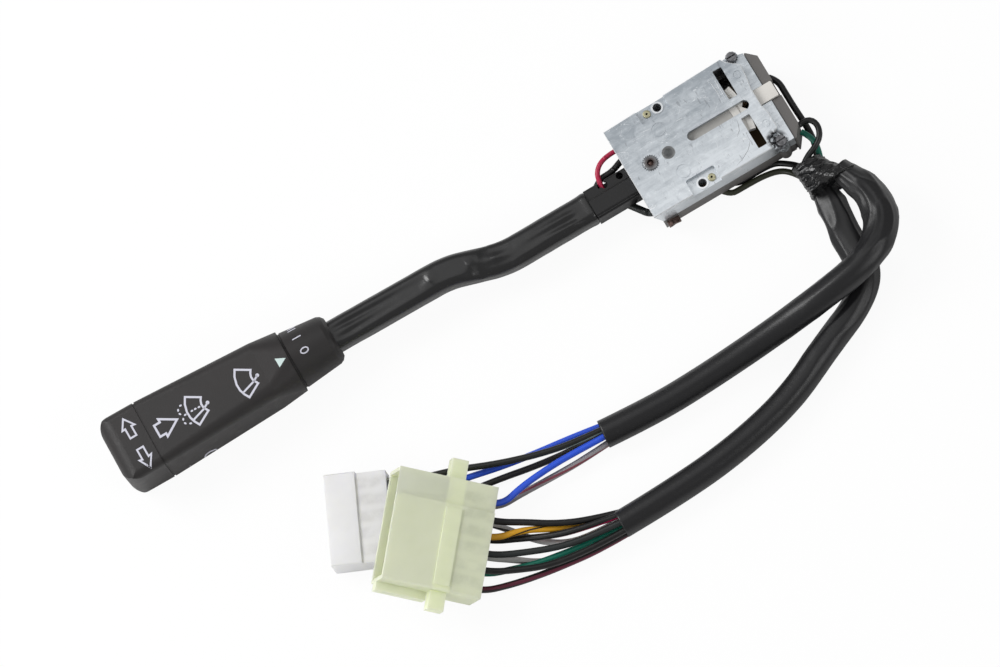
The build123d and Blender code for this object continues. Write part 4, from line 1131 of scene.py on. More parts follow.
@dataclass(frozen=True)
class Lamp:
    """Square soft lamp that looks at a point; places in metres, power in watts."""

    name: str
    place: Point
    size: float
    watts: float
    aim: Point = (0.0, -0.03, 0.0)

    def build(self) -> None:
        """Make the lamp."""
        data = bpy.data.lights.new(self.name, "AREA")
        data.shape = "SQUARE"
        data.size = self.size
        data.energy = self.watts
        lamp = placed(self.name, data)
        lamp.location = self.place
        lamp.rotation_euler = (Vector(self.aim) - Vector(self.place)).to_track_quat("-Z", "Y").to_euler()


@dataclass(frozen=True)
class Stage:
    """Camera, floor, world and lamps; the camera's place is in millimetres and the floor in metres."""

    camera_at: Point = (-83.2, -902.9, 2883.5)
    elevation: float = 73.0
    roll: float = 30.6
    focal_pixels: float = 7800.0
    image_width: float = 1000.0
    sensor: float = 36.0
    floor_half: float = 3.0
    floor_glow: float = 0.93
    world_light: float = 0.38
    lamps: tuple[Lamp, ...] = (
        Lamp("lamp_key", (-0.85, 0.75, 1.0), 0.75, 14.0),
        Lamp("lamp_canopy", (0.1, 0.65, 2.0), 1.5, 4.0),
        Lamp("lamp_fill", (0.7, -0.9, 0.9), 0.6, 3.6),
        Lamp("lamp_side", (-1.1, -0.3, 0.7), 0.5, 3.6, (-0.1, -0.03, 0.0)))

    def build(self) -> None:
        """Make everything that isn't the object."""
        self._camera()
        self._world()
        self._floor()
        for lamp in self.lamps:
            lamp.build()

    def _camera(self) -> None:
        """Camera high above the bench, rolled about its axis."""
        tilt = math.radians(self.elevation)
        turn = math.radians(self.roll)
        level = Vector(ALONG)
        back = Vector((0.0, -math.cos(tilt), math.sin(tilt)))
        upright = back.cross(level)
        right = level * math.cos(turn) - upright * math.sin(turn)
        up = level * math.sin(turn) + upright * math.cos(turn)
        data = bpy.data.cameras.new("camera")
        data.sensor_width = self.sensor
        data.sensor_fit = "HORIZONTAL"
        data.lens = self.sensor * self.focal_pixels / self.image_width
        data.clip_start = 0.05
        data.clip_end = 30.0
        camera = placed("camera", data)
        basis = Matrix((right, up, back)).transposed()
        camera.matrix_world = Matrix.Translation(Vector(self.camera_at) * MM) @ basis.to_4x4()
        bpy.context.scene.camera = camera

    def _world(self) -> None:
        """White world to the camera, and a dimmer one to everything that it lights."""
        world = bpy.data.worlds.new("world")
        world.use_nodes = True
        bpy.context.scene.world = world
        nodes = world.node_tree.nodes
        links = world.node_tree.links
        path = nodes.new("ShaderNodeLightPath")
        strength = nodes.new("ShaderNodeMapRange")
        strength.inputs["To Min"].default_value = self.world_light
        strength.inputs["To Max"].default_value = 1.0
        links.new(path.outputs["Is Camera Ray"], strength.inputs["Value"])
        links.new(strength.outputs["Result"], nodes["Background"].inputs["Strength"])
        nodes["Background"].inputs["Color"].default_value = (1.0, 1.0, 1.0, 1.0)

    def _floor(self) -> None:
        """White floor that keeps a faint shadow."""
        half = self.floor_half
        corners = [Vector((x, y, 0.0)) for x, y in ((-half, -half), (half, -half), (half, half), (-half, half))]
        floor = mesh_piece("floor", corners, [(0, 1, 2, 3)], False)
        material = bpy.data.materials.new("floor")
        material.use_nodes = True
        nodes = material.node_tree.nodes
        links = material.node_tree.links
        shader = nodes["Principled BSDF"]
        shader.inputs["Base Color"].default_value = (0.9, 0.9, 0.9, 1.0)
        shader.inputs["Roughness"].default_value = 0.9
        shader.inputs["Specular IOR Level"].default_value = 0.0
        glow = nodes.new("ShaderNodeEmission")
        glow.inputs["Color"].default_value = (1.0, 1.0, 1.0, 1.0)
        glow.inputs["Strength"].default_value = 1.0
        path = nodes.new("ShaderNodeLightPath")
        share = nodes.new("ShaderNodeMath")
        share.operation = "MULTIPLY"
        share.inputs[1].default_value = self.floor_glow
        links.new(path.outputs["Is Camera Ray"], share.inputs[0])
        mixed = nodes.new("ShaderNodeMixShader")
        links.new(share.outputs[0], mixed.inputs[0])
        links.new(shader.outputs[0], mixed.inputs[1])
        links.new(glow.outputs[0], mixed.inputs[2])
        links.new(mixed.outputs[0], nodes["Material Output"].inputs["Surface"])
        floor.data.materials.append(material)


# ---------------------------------------------------------------- harness

Cords = dict[str, tuple[Finish, float, Sequence[Point]]]


@dataclass(frozen=True)
class Harness:
    """Taped branch, two sleeves and the single leads, in millimetres.

    The number of a lead in the fan is its stripe's half turns, and elsewhere it is the lead's diameter.
    """

    sleeve_diameter: float = 11.5
    sleeve_mouth: float = 2.2
    lead_diameter: float = 2.6
    white_leads: tuple[str, ...] = ("lead_blue_a", "lead_black_green", "lead_black_brown")
    sleeve_upper: Sequence[Point] = (
        (60.8, -37.5, 13.8), (63.2, -44.0, 13.8), (67.2, -53.0, 14.0), (66.6, -66.0, 16.0), (54.6, -75.6, 18.2),
        (35.0, -78.6, 16.2), (6.0, -79.4, 8.0), (-24.0, -80.6, 6.0), (-48.0, -81.0, 6.0), (-68.8, -79.2, 6.0))
    sleeve_lower: Sequence[Point] = (
        (52.2, -37.5, 5.9), (51.9, -50.0, 5.9), (50.2, -63.0, 5.9), (50.6, -76.5, 5.9), (41.5, -86.0, 5.9),
        (22.0, -94.0, 5.9), (1.0, -104.4, 5.9), (-24.0, -110.4, 5.9), (-52.0, -113.4, 5.9), (-80.5, -113.6, 5.9))
    fan: Cords = field(default_factory=lambda: {
        "lead_blue_a": (Finish.LEAD_BLUE, 0.0, (
            (-67.5, -75.6, 5.0), (-80.0, -73.4, 4.8), (-94.4, -71.4, 4.2), (-109.0, -68.8, 3.6),
            (-124.0, -65.2, 3.6), (-140.6, -62.8, 5.0), (-154.15, -57.66, 6.7))),
        "lead_black_green": (Finish.BLACK_GREEN, 0.6, (
            (-67.5, -78.0, 8.6), (-81.0, -76.8, 8.8), (-96.0, -73.0, 8.4), (-111.0, -67.6, 7.8),
            (-124.0, -61.6, 6.8), (-138.6, -56.9, 6.4), (-151.45, -51.66, 6.7))),
        "lead_black_brown": (Finish.BLACK_BROWN, 0.8, (
            (-67.5, -78.5, 4.2), (-82.0, -77.4, 3.0), (-97.0, -75.2, 2.0), (-112.0, -72.0, 1.5),
            (-126.0, -70.0, 1.6), (-143.4, -68.6, 4.0), (-156.85, -63.66, 6.7))),
        "lead_blue_b": (Finish.LEAD_BLUE, 0.0, (
            (-67.5, -80.7, 8.0), (-79.4, -80.0, 7.4), (-92.0, -79.8, 7.4), (-106.0, -81.2, 8.6),
            (-116.1, -83.9, 9.4), (-120.0, -80.7, 11.65))),
        "lead_grey": (Finish.LEAD_GREY, -0.8, (
            (-67.5, -82.7, 5.0), (-80.6, -83.4, 4.6), (-94.0, -83.0, 4.2), (-107.6, -82.2, 3.6),
            (-118.1, -82.3, 3.5), (-122.0, -79.1, 5.7))),
        "lead_black_a": (Finish.LEAD_BLACK, 0.0, (
            (-79.0, -109.3, 7.0), (-90.6, -105.8, 7.5), (-102.0, -100.6, 8.2), (-111.6, -94.2, 8.8),
            (-120.2, -89.1, 9.4), (-124.1, -85.9, 11.65))),
        "lead_black_red": (Finish.BLACK_RED, 0.5, (
            (-79.0, -110.9, 9.3), (-91.4, -108.4, 8.8), (-104.0, -104.4, 6.8), (-117.2, -97.2, 4.2),
            (-126.4, -92.5, 3.5), (-130.3, -89.3, 5.7))),
        "lead_yellow": (Finish.LEAD_YELLOW, 2.4, (
            (-79.0, -109.9, 4.0), (-91.6, -107.0, 4.4), (-103.5, -101.2, 5.0), (-114.0, -96.2, 8.8),
            (-124.4, -94.2, 9.4), (-128.3, -91.0, 11.65))),
        "lead_pale_a": (Finish.LEAD_PALE, 2.0, (
            (-79.0, -112.1, 6.4), (-90.0, -110.8, 3.4), (-101.6, -108.2, 1.6), (-110.6, -101.8, 1.6),
            (-116.6, -94.2, 2.0), (-122.3, -87.4, 3.5), (-126.2, -84.2, 5.7))),
        "lead_slate": (Finish.LEAD_SLATE, 0.4, (
            (-79.0, -113.8, 9.5), (-91.6, -112.6, 8.9), (-105.0, -109.6, 8.4), (-119.0, -103.8, 8.6),
            (-128.6, -99.3, 9.4), (-132.5, -96.1, 11.65))),
        "lead_pale_b": (Finish.LEAD_PALE, 2.6, (
            (-79.0, -113.0, 3.4), (-91.4, -113.3, 2.0), (-104.0, -112.8, 1.6), (-114.6, -109.0, 1.6),
            (-122.6, -103.0, 2.2), (-130.6, -97.7, 3.5), (-134.5, -94.5, 5.7))),
        "lead_green": (Finish.LEAD_GREEN, 0.0, (
            (-79.0, -115.0, 6.1), (-91.6, -113.9, 5.6), (-105.2, -111.6, 5.2), (-115.8, -109.6, 4.8),
            (-125.2, -106.4, 4.2), (-134.7, -102.8, 3.5), (-138.6, -99.6, 5.7))),
        "lead_black_b": (Finish.LEAD_BLACK, 0.0, (
            (-79.0, -117.0, 8.4), (-91.6, -116.5, 8.0), (-104.6, -115.0, 7.8), (-114.4, -112.8, 8.2),
            (-123.6, -108.8, 8.8), (-132.7, -104.4, 9.4), (-136.6, -101.2, 11.65))),
        "lead_maroon": (Finish.BLACK_MAROON, -0.6, (
            (-79.0, -117.5, 4.4), (-92.0, -117.4, 4.2), (-106.6, -115.6, 4.0), (-118.6, -113.6, 3.8),
            (-128.8, -111.2, 3.6), (-138.9, -107.9, 3.5), (-142.8, -104.7, 5.7))),
    })
    column_end: Cords = field(default_factory=lambda: {
        "side_lead_olive": (Finish.LEAD_OLIVE, 2.4, (
            (18.0, -16.9, 2.0), (20.6, -20.9, 1.4), (26.0, -20.95, 1.4), (35.0, -21.1, 1.4), (42.0, -22.6, 1.4),
            (46.0, -26.6, 2.4), (48.2, -31.0, 4.0))),
        "side_lead_black": (Finish.LEAD_BLACK, 2.4, (
            (23.0, -16.9, 2.0), (25.4, -18.45, 1.4), (28.8, -18.6, 1.4), (35.4, -18.5, 1.4), (41.6, -18.9, 1.4),
            (45.8, -22.2, 2.6), (49.2, -26.2, 5.2), (50.8, -30.8, 8.0))),
        "end_lead_green": (Finish.LEAD_GREEN, 2.4, (
            (56.4, -15.9, 9.0), (59.0, -20.0, 8.6), (58.6, -25.6, 7.6), (56.6, -30.6, 6.6))),
        "loop_lead": (Finish.LEAD_BLACK, 2.4, (
            (56.6, -14.6, 13.4), (60.4, -13.8, 13.8), (63.2, -17.4, 13.8), (61.8, -22.4, 13.0), (57.4, -25.2, 12.4),
            (52.8, -26.6, 11.4), (49.2, -29.4, 10.6))),
        "end_lead_black": (Finish.LEAD_BLACK, 2.6, (
            (56.6, 9.8, 8.6), (59.0, 7.0, 8.6), (59.0, 1.4, 8.5), (59.0, -6.0, 8.2), (59.4, -13.0, 6.8),
            (59.2, -19.6, 5.0), (57.4, -25.6, 4.2), (54.6, -30.6, 3.4))),
    })

    def build(self, nodes: Nodes) -> None:
        """Make every cord and dress what is on the cords.

        Args:
            nodes: the CAD nodes by name.
        """
        self._tape(nodes["tape_wrap"])
        for name, finish in (("white_connector", Finish.NATURAL), ("yellow_connector", Finish.YELLOWED),
                             ("white_terminals", Finish.TIN), ("yellow_terminals", Finish.TIN)):
            dress(nodes[name], finish)
        self._sleeve("sleeve_upper", self.sleeve_upper, seed=0.2, slump=0.36)
        self._sleeve("sleeve_lower", self.sleeve_lower, seed=7.3, slump=0.12)
        for name, (finish, twist, points) in self.fan.items():
            plug = "white" if name in self.white_leads else "yellow"
            pieces = (plug + "_connector", plug + "_terminals")
            self._lead(name, finish, self.lead_diameter, points, twist, "connector", pieces)
        for name, (finish, diameter, points) in self.column_end.items():
            self._lead(name, finish, diameter, points, 0.0, "object", ())

    @staticmethod
    def _tape(node: bpy.types.Object) -> None:
        """Tape wound in overlapping turns and crumpled over the leads.

        Args:
            node: the CAD node that it replaces.
        """

        def crumple(place: Vector, normal: Vector) -> float:
            """Overlaps of the turns, sharp crinkles across them and broad lumps.

            Args:
                place: place on the surface, in millimetres.
                normal: the surface's direction there.

            Returns:
                Millimetres outwards.
            """
            wound = (-place.y - 0.22 * (place.x - 56.0) + 0.1 * place.z) / 4.3
            overlap = 0.42 * (1.0 - wound % 1.0)
            across = Vector((place.x * 0.75, place.y * 1.9, place.z * 0.75)) * MM
            crinkle = 0.85 * furrow(across, 250.0, 3.0 + math.floor(wound)) + 0.16 * furrow(across, 640.0, 9.0)
            cover = 1.3 * min(1.0, max(0.0, (-34.0 - place.y) / 5.0)) * max(0.0, normal.x + 0.35 * normal.z)
            return overlap + crinkle + cover - 0.5 + 0.35 * rumple(place * MM, 130.0, 2.0)

        piece = dress(reshape(node, "tape_wrap_cover", cell=0.26, shift=crumple), Finish.TAPE)
        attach(piece, "housing")
        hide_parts("tape_wrap")
        LOG.info("%s: %d faces", piece.name, len(piece.data.polygons))

    def _sleeve(self, name: str, points: Sequence[Point], seed: float, slump: float) -> None:
        """One PVC sleeve, creased near the tape.

        Args:
            name: the CAD node that it replaces.
            points: its route.
            seed: seed of its folds.
            slump: how far it bulges inside its first bend, as a share of its radius.
        """
        line = Route(points, spacing=0.8).spline(name)

        def creases(along: float, turn: float) -> float:
            """Folds near the tape that die away, and a slightly flattened section.

            Args:
                along: share of the length, from 0 to 1.
                turn: angle round the line.

            Returns:
                Factor of the radius.
            """
            slack = math.exp(-((along / 0.34) ** 2))
            skin = Vector((math.cos(turn) * 0.010, math.sin(turn) * 0.010, along * 0.085 + 0.004 * math.sin(turn)))
            folds = furrow(skin, 120.0, seed) - 0.45
            long_fold = furrow(Vector((skin.x, skin.y, skin.z * 0.3)), 95.0, seed + 4.0) - 0.5
            soft = rumple(skin, 45.0, seed + 8.0)
            flat = 0.025 * math.cos(2.0 * turn + seed + along * 2.5)
            bulge = slump * math.exp(-(((along - 0.17) / 0.085) ** 2)) * max(0.0, math.cos(turn)) ** 1.5
            neck = -0.26 * max(0.0, 1.0 - along / 0.055)
            return 1.0 + 0.13 * slack * folds + 0.10 * slack * long_fold + 0.03 * soft + flat + bulge + neck

        piece = Tube(name + "_cover", line, self.sleeve_diameter / 2 * MM, sides=56, shape=creases,
                     hollow=self.sleeve_mouth * MM).build()
        dress(piece, Finish.SLEEVING)
        self._declare(piece, name, line, self.sleeve_diameter, "bare", "pvc_sleeve", ())

    def _lead(self, name: str, finish: Finish, diameter: float, points: Sequence[Point], twist: float,
              far_end: str, pieces: Sequence[str]) -> None:
        """One single lead.

        Args:
            name: the CAD node that it replaces.
            finish: its insulation.
            diameter: its diameter, in millimetres.
            points: its route.
            twist: half turns of its stripe over its length.
            far_end: what its far end is, in the frame's words.
            pieces: the pieces on it.
        """
        line = Route(points, spacing=1.2).spline(name)
        piece = Tube(name + "_cover", line, diameter / 2 * MM, twist=twist * math.pi).build()
        dress(piece, finish)
        slot = finish.value.name if finish.value.name in RECORD_SLOTS else "lead_black"
        self._declare(piece, name, line, diameter, far_end, slot, pieces)

    @staticmethod
    def _declare(piece: bpy.types.Object, node: str, line: Sequence[Vector], diameter: float, far_end: str,
                 slot: str, pieces: Sequence[str]) -> None:
        """Attach a cord to the housing and hide its CAD node; its length is logged.

        Args:
            piece: the cord.
            node: the CAD node that it replaces.
            line: its middle line, in metres.
            diameter: its diameter, in millimetres.
            far_end: not used.
            slot: not used.
            pieces: not used.
        """
        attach(piece, "housing")
        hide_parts(node)
        total = length_of(line)
        if total >= max(DECLARED_LENGTH, DECLARED_DIAMETERS * diameter) * MM:
            diameter * MM
        LOG.info("%s: %.1f mm", piece.name, total / MM)


# ---------------------------------------------------------------- springs

@dataclass(frozen=True)
class Spring:
    """A return spring, whose coil is copied from its node and rides its body."""

    node: str
    body: str
    joint: str
    axis: Point
    fixed_high: bool
    travel: float

    def build(self, nodes: Nodes) -> None:
        """Copy the node's coil and attach it to its body.

        Args:
            nodes: the CAD nodes by name.
        """
        piece = shaped(self.node + "_coil", welded(nodes[self.node].data, FINE_WELD))
        dress(piece, Finish.SPRING)
        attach(piece, self.body)
        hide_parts(self.node)
        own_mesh(piece)


SPRINGS = (
    Spring("detent_spring", "turn_carrier", "detent_slide", ALONG, False, 1.0),
    Spring("washer_spring", "wiper_rotor", "washer_push", GRIP_AXIS, True, 3.0),
    Spring("horn_spring", "handle", "horn_press", GRIP_AXIS, True, 0.7),
    Spring("cancel_spring", "housing", "cancel", ALONG, False, 2.5))


# ---------------------------------------------------------------- lever

@dataclass(frozen=True)
class Lever:
    """Arm in heat-shrink, and the leads between lever and housing with their diameters, in millimetres.

    Each lead is split at a share of its length, and the cut end is the heat-shrink's edge at the root.
    """

    arm: Sequence[Point] = ((-28.1, 0.0, 11.5), (-67.0, 0.0, 11.5), (-89.0, 6.551, 13.2), (-142.8, 7.518, 13.2))
    split: float = 0.42
    cut_end: float = -29.4
    creases: tuple[Crease, ...] = (
        Crease((-137.5, 8.8), (-97.0, 7.4), 1.2, -0.8), Crease((-137.5, 4.5), (-102.0, 5.0), 1.4, -0.8),
        Crease((-97.0, 6.2), (-92.0, 7.8), 2.0, 0.75), Crease((-80.8, 3.3), (-77.5, 4.2), 1.9, 0.6),
        Crease((-75.0, 6.6), (-63.0, 2.4), 2.5, -1.05), Crease((-81.0, -0.4), (-62.0, -3.8), 2.9, -1.2),
        Crease((-34.6, 0.7), (-60.0, 0.9), 1.1, 0.6), Crease((-35.0, -3.7), (-52.0, -2.2), 1.1, 0.55),
        Crease((-36.0, -1.6), (-58.0, -1.0), 1.2, -0.45), Crease((-71.0, 8.2), (-61.0, 6.4), 2.2, 0.7),
        Crease((-72.0, 1.4), (-60.0, -0.9), 1.6, 0.8), Crease((-66.0, -6.2), (-60.0, -7.0), 2.2, 0.6))
    leads: Cords = field(default_factory=lambda: {
        "lever_lead_red": (Finish.LEAD_RED, 2.0, (
            (-20.8, 3.6, 12.6), (-20.4, 7.6, 14.2), (-19.0, 10.8, 14.6), (-15.6, 13.4, 14.6), (-9.4, 14.2, 14.4),
            (-2.6, 13.6, 13.6), (3.6, 13.2, 12.8))),
        "lever_lead_black": (Finish.LEAD_BLACK, 2.6, (
            (-25.5, 3.4, 11.5), (-20.5, 8.4, 11.7), (-14.5, 8.0, 11.9), (-8.4, 10.6, 11.6), (-1.6, 11.7, 11.0),
            (4.8, 11.6, 10.4))),
        "lever_lead_green": (Finish.LEAD_SLATE, 3.0, (
            (-15.0, -4.6, 4.9), (-12.4, -8.4, 5.2), (-9.8, -12.6, 6.4), (-4.6, -13.6, 7.2), (0.4, -13.6, 7.2))),
    })

    def build(self, nodes: Nodes) -> None:
        """Dress the lever and make its leads, each split in two pieces at a share of its length.

        Args:
            nodes: the CAD nodes by name.
        """
        dress(nodes["lever_core"], Finish.ROOT)
        self._shrink(nodes["lever_sleeve"])
        for name, (finish, diameter, points) in self.leads.items():
            line = Route(points, spacing=0.8).spline(name)
            middle = round(len(line) * self.split)
            root = Tube(name + "_root", line[:middle + 1], diameter / 2 * MM).build()
            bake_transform(root)
            run = Tube(name + "_cover", line[middle:], diameter / 2 * MM).build()
            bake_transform(run)
            for piece in (root, run):
                dress(piece, finish)
                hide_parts(name)
            LOG.info("%s: %.1f mm", name, length_of(line) / MM)

    def _shrink(self, node: bpy.types.Object) -> None:
        """Heat-shrink drawn tight over the arm, with its ridges, hollows and pinches.

        Args:
            node: the CAD node that it replaces.
        """
        centre = Route(self.arm, spacing=1.0).spline("arm_line")

        def drawn(place: Vector, normal: Vector) -> float:
            """Creases on the upper side, a thick cut end and a faint unevenness.

            Args:
                place: place on the surface, in millimetres.
                normal: the surface's direction there.

            Returns:
                Millimetres outwards; the inner wall stays.
            """
            share = (place.x * MM - centre[0].x) / (centre[-1].x - centre[0].x)
            index = min(len(centre) - 1, max(0, round(share * (len(centre) - 1))))
            outwards = place - centre[index] / MM
            if outwards.dot(normal) < 0.0:
                return 0.0
            uneven = 0.10 * rumple(place * MM, 75.0, 1.0) + 0.05 * rumple(place * MM, 210.0, 6.0)
            lip = 0.2 * math.exp(-(((place.x - self.cut_end) / 1.3) ** 2))
            if normal.z < 0.15:
                return uneven + lip
            return uneven + lip + sum(crease.at(place) for crease in self.creases) * min(1.0, normal.z * 1.6)

        piece = dress(reshape(node, "lever_sleeve_cover", cell=0.42, shift=drawn), Finish.HEAT_SHRINK)
        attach(piece, "lever")
        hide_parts("lever_sleeve")
        LOG.info("%s: %d faces", piece.name, len(piece.data.polygons))


# ---------------------------------------------------------------- grip

@dataclass(frozen=True)
class Grip:
    """Grip, end button and ring with their printed symbols, in millimetres."""

    anchor: Point = (0.0, 0.0, PLATE_TOP)
    tilt: float = 73.0
    lift: float = 0.045
    middle: Point = (-139.0, 7.45, 13.2)
    gasket_inset: float = 0.45
    gasket_depths: Flat = (0.02, 0.76)
    gasket_keep: float = 0.09
    boss_radius: float = 10.0
    seal: Outline = ((9.35, -19.35), (11.5, -19.35), (11.62, -19.2), (11.62, -18.1), (11.5, -18.02), (9.35, -18.02),
                     (9.35, -19.35))
    pane: Outline = ((-178.2, 13.0), (-179.6, 10.6), (-180.4, 7.6), (-180.3, 5.0), (-179.6, 2.9), (-178.5, 0.9),
                     (-172.9, 3.9), (-174.0, 5.8), (-174.1, 7.4), (-173.6, 8.8), (-172.9, 9.8))
    blade: Outline = ((-179.6, 3.7), (-174.2, 5.3), (-171.7, 6.7))
    washer_shift: Flat = (-21.8, 0.7)
    jets: Sequence[Point] = (
        (-197.2, 7.6, 0), (-198.8, 7.7, 0), (-200.3, 7.7, 0), (-203.3, 7.7, 0), (-203.1, 11.7, 0),
        (-204.8, 10.6, 60), (-204.9, 9.0, 120), (-204.8, 6.6, 60), (-204.9, 4.9, 120), (-203.1, 3.8, 160))
    arrow: Outline = ((-215.8, 10.2), (-213.2, 10.2), (-213.2, 11.6), (-206.9, 7.8), (-213.2, 4.0), (-213.2, 5.3),
                      (-215.8, 5.3))
    horn: Sequence[tuple[Outline, float]] = (
        (((-213.6, -10.3), (-212.2, -10.1), (-210.4, -10.5)), 0.5),
        (((-206.5, -10.4), (-204.7, -9.4), (-202.8, -9.2), (-200.6, -9.5), (-199.6, -10.3)), 0.45))
    pointer: Outline = ((-162.7, 8.8), (-162.7, 4.9), (-158.9, 6.9))
    up: Outline = ((-226.1, 10.6), (-226.1, 14.7), (-227.4, 14.6), (-224.9, 18.5), (-222.0, 14.5), (-223.4, 14.7),
                   (-223.4, 10.6))
    down: Outline = ((-226.1, 5.5), (-226.1, 1.2), (-227.3, 1.5), (-224.9, -2.9), (-222.0, 1.5), (-223.4, 1.2),
                     (-223.4, 5.5))
    bars: Sequence[tuple[Outline, float]] = (
        (((-153.3, 11.6), (-149.6, 11.5)), 0.42), (((-153.4, 15.05), (-150.1, 14.9)), 0.26),
        (((-153.4, 15.75), (-150.1, 15.6)), 0.24))

    def build(self, nodes: Nodes) -> None:
        """Dress the grip, close its two seams and print it.

        Args:
            nodes: the CAD nodes by name.
        """
        grip, button, ring = nodes["handle_body"], nodes["horn_button"], nodes["index_ring"]
        for node in (grip, button, ring):
            dress(node, Finish.KNOB)
        self._gasket(grip)
        self._ring_seal()
        symbols = [*self._wiper((0.0, 0.0)), *self._wiper(self.washer_shift), *self._spray(),
                   self._line(self.arrow, 0.85, True), *(self._line(part, width) for part, width in self.horn)]
        self._print("grip_symbols", symbols, grip, "handle", Finish.INK)
        self._print("grip_pointer", [self._fill(self.pointer)], grip, "handle", Finish.MINT)
        arrows = [self._line(self.up, 0.7, True), self._line(self.down, 0.7, True)]
        self._print("button_arrows", arrows, button, "horn_button", Finish.INK)
        zero = self._line(self._oval((-151.2, 5.8), (1.55, 1.05), 28), 0.5, True)
        self._print("ring_numerals", [zero, *(self._line(part, width) for part, width in self.bars)], ring, "lever",
                    Finish.INK)

    def _gasket(self, node: bpy.types.Object) -> None:
        """Dark soft washer between the grip body and its button, a little inside their faces.

        Args:
            node: the grip body, whose end face gives the outline.
        """
        along = Vector(GRIP_AXIS)
        centre = Vector(self.middle) * MM

        def off_axis(place: Vector) -> Vector:
            """How far a place is from the grip's own axis, and which way."""
            return place - centre - along * (place - centre).dot(along)

        outer = [v.co for v in node.data.vertices if off_axis(v.co).length > self.boss_radius * MM]
        end = min(place.dot(along) for place in outer)
        rim = [off_axis(place) for place in outer if place.dot(along) < end + 0.1 * MM]
        seat = centre + along * (end - centre.dot(along))
        shape = bmesh.new()
        for depth in self.gasket_depths:
            for away in rim:
                shape.verts.new(seat + away * (1.0 - self.gasket_inset * MM / away.length) - along * depth * MM)
        hull = bmesh.ops.convex_hull(shape, input=shape.verts)
        inner = {item for key in ("geom_interior", "geom_unused") for item in hull[key]
                 if isinstance(item, bmesh.types.BMVert) and item.is_valid}
        bmesh.ops.delete(shape, geom=list(inner), context="VERTS")
        piece = dress(shaped("button_gasket", shape, False), Finish.KNOB)
        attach(piece, "handle")
        tuple(seat - along * self.gasket_depths[0] * MM)
        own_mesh(piece)
        LOG.info("%s: %d faces", piece.name, len(piece.data.polygons))

    def _ring_seal(self) -> None:
        """Dark seal round the ring's spigot, which the grip body's mouth slides over."""
        piece = lathed("ring_seal", self.seal, (0.0, 0.0, 0.0), 64)
        shape = bmesh.new()
        shape.from_mesh(piece.data)
        discs = [face for face in shape.faces if len(face.verts) > 4]
        bmesh.ops.delete(shape, geom=discs, context="FACES_ONLY")
        bmesh.ops.remove_doubles(shape, verts=shape.verts, dist=FINE_WELD)
        turn = Vector(GRIP_AXIS).to_track_quat("Z", "Y").to_matrix().to_4x4()
        bmesh.ops.transform(shape, matrix=Matrix.Translation(Vector(self.middle) * MM) @ turn, verts=shape.verts)
        bmesh.ops.recalc_face_normals(shape, faces=shape.faces)
        shape.to_mesh(piece.data)
        shape.free()
        dress(piece, Finish.KNOB)
        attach(piece, "lever")

    def _wiper(self, shift: Flat) -> list[Triangles]:
        """Windscreen and wiper.

        Args:
            shift: how far the symbol is moved.

        Returns:
            Triangles of the pane, the blade and its pivot.
        """
        dot = self._oval((-171.7, 6.7), (0.75, 0.75), 12)
        pane, blade, pivot = ([(x + shift[0], y + shift[1]) for x, y in part]
                              for part in (self.pane, self.blade, dot))
        return [self._line(pane, 0.8, True), self._line(blade, 0.75), self._fill(pivot)]

    def _spray(self) -> list[Triangles]:
        """Dotted washer jets."""
        return [self._fill(self._oval((x, y), (0.58, 0.38), 10, angle)) for x, y, angle in self.jets]

    @staticmethod
    def _oval(middle: Flat, radii: Flat, count: int, angle: float = 0.0) -> list[Flat]:
        """Corners of an oval.

        Args:
            middle: its middle.
            radii: half its length and half its width.
            count: number of corners.
            angle: how far it is turned, in degrees.

        Returns:
            The corners in order.
        """
        turn = math.radians(angle)
        corners = []
        for step in range(count):
            a = radii[0] * math.cos(step * math.tau / count)
            b = radii[1] * math.sin(step * math.tau / count)
            corners.append((middle[0] + a * math.cos(turn) - b * math.sin(turn),
                            middle[1] + a * math.sin(turn) + b * math.cos(turn)))
        return corners

    @staticmethod
    def _fill(corners: Outline) -> Triangles:
        """Triangles of a filled convex outline."""
        middle = (sum(c[0] for c in corners) / len(corners), sum(c[1] for c in corners) / len(corners))
        return [(middle, a, b) for a, b in zip(corners, [*corners[1:], corners[0]])]

    @staticmethod
    def _line(corners: Outline, width: float, closed: bool = False) -> Triangles:
        """Triangles of a stroke with mitred corners.

        Args:
            corners: the stroke's middle line.
            width: its width.
            closed: whether it runs back to its first corner.

        Returns:
            Triangles, each of three flat points.
        """
        points = [Vector(c) for c in corners]
        count = len(points)
        sides = []
        for index, point in enumerate(points):
            before = (point - points[index - 1]).normalized() if index or closed else None
            after = (points[(index + 1) % count] - point).normalized() if index < count - 1 or closed else None
            direction = ((before or after) + (after or before)).normalized()
            normal = Vector((-direction.y, direction.x))
            reference = after or before
            reach = width / 2 / max(0.45, abs(normal.dot(Vector((-reference.y, reference.x)))))
            sides.append((point + normal * reach, point - normal * reach))
        triangles = []
        for (a, b), (c, d) in zip(sides, sides[1:] + sides[:1] if closed else sides[1:]):
            for step in range(STROKE_STEPS):
                low, high = step / STROKE_STEPS, (step + 1) / STROKE_STEPS
                p, q, r, s = a.lerp(c, low), b.lerp(d, low), a.lerp(c, high), b.lerp(d, high)
                triangles += [(tuple(p), tuple(q), tuple(s)), (tuple(p), tuple(s), tuple(r))]
        return triangles

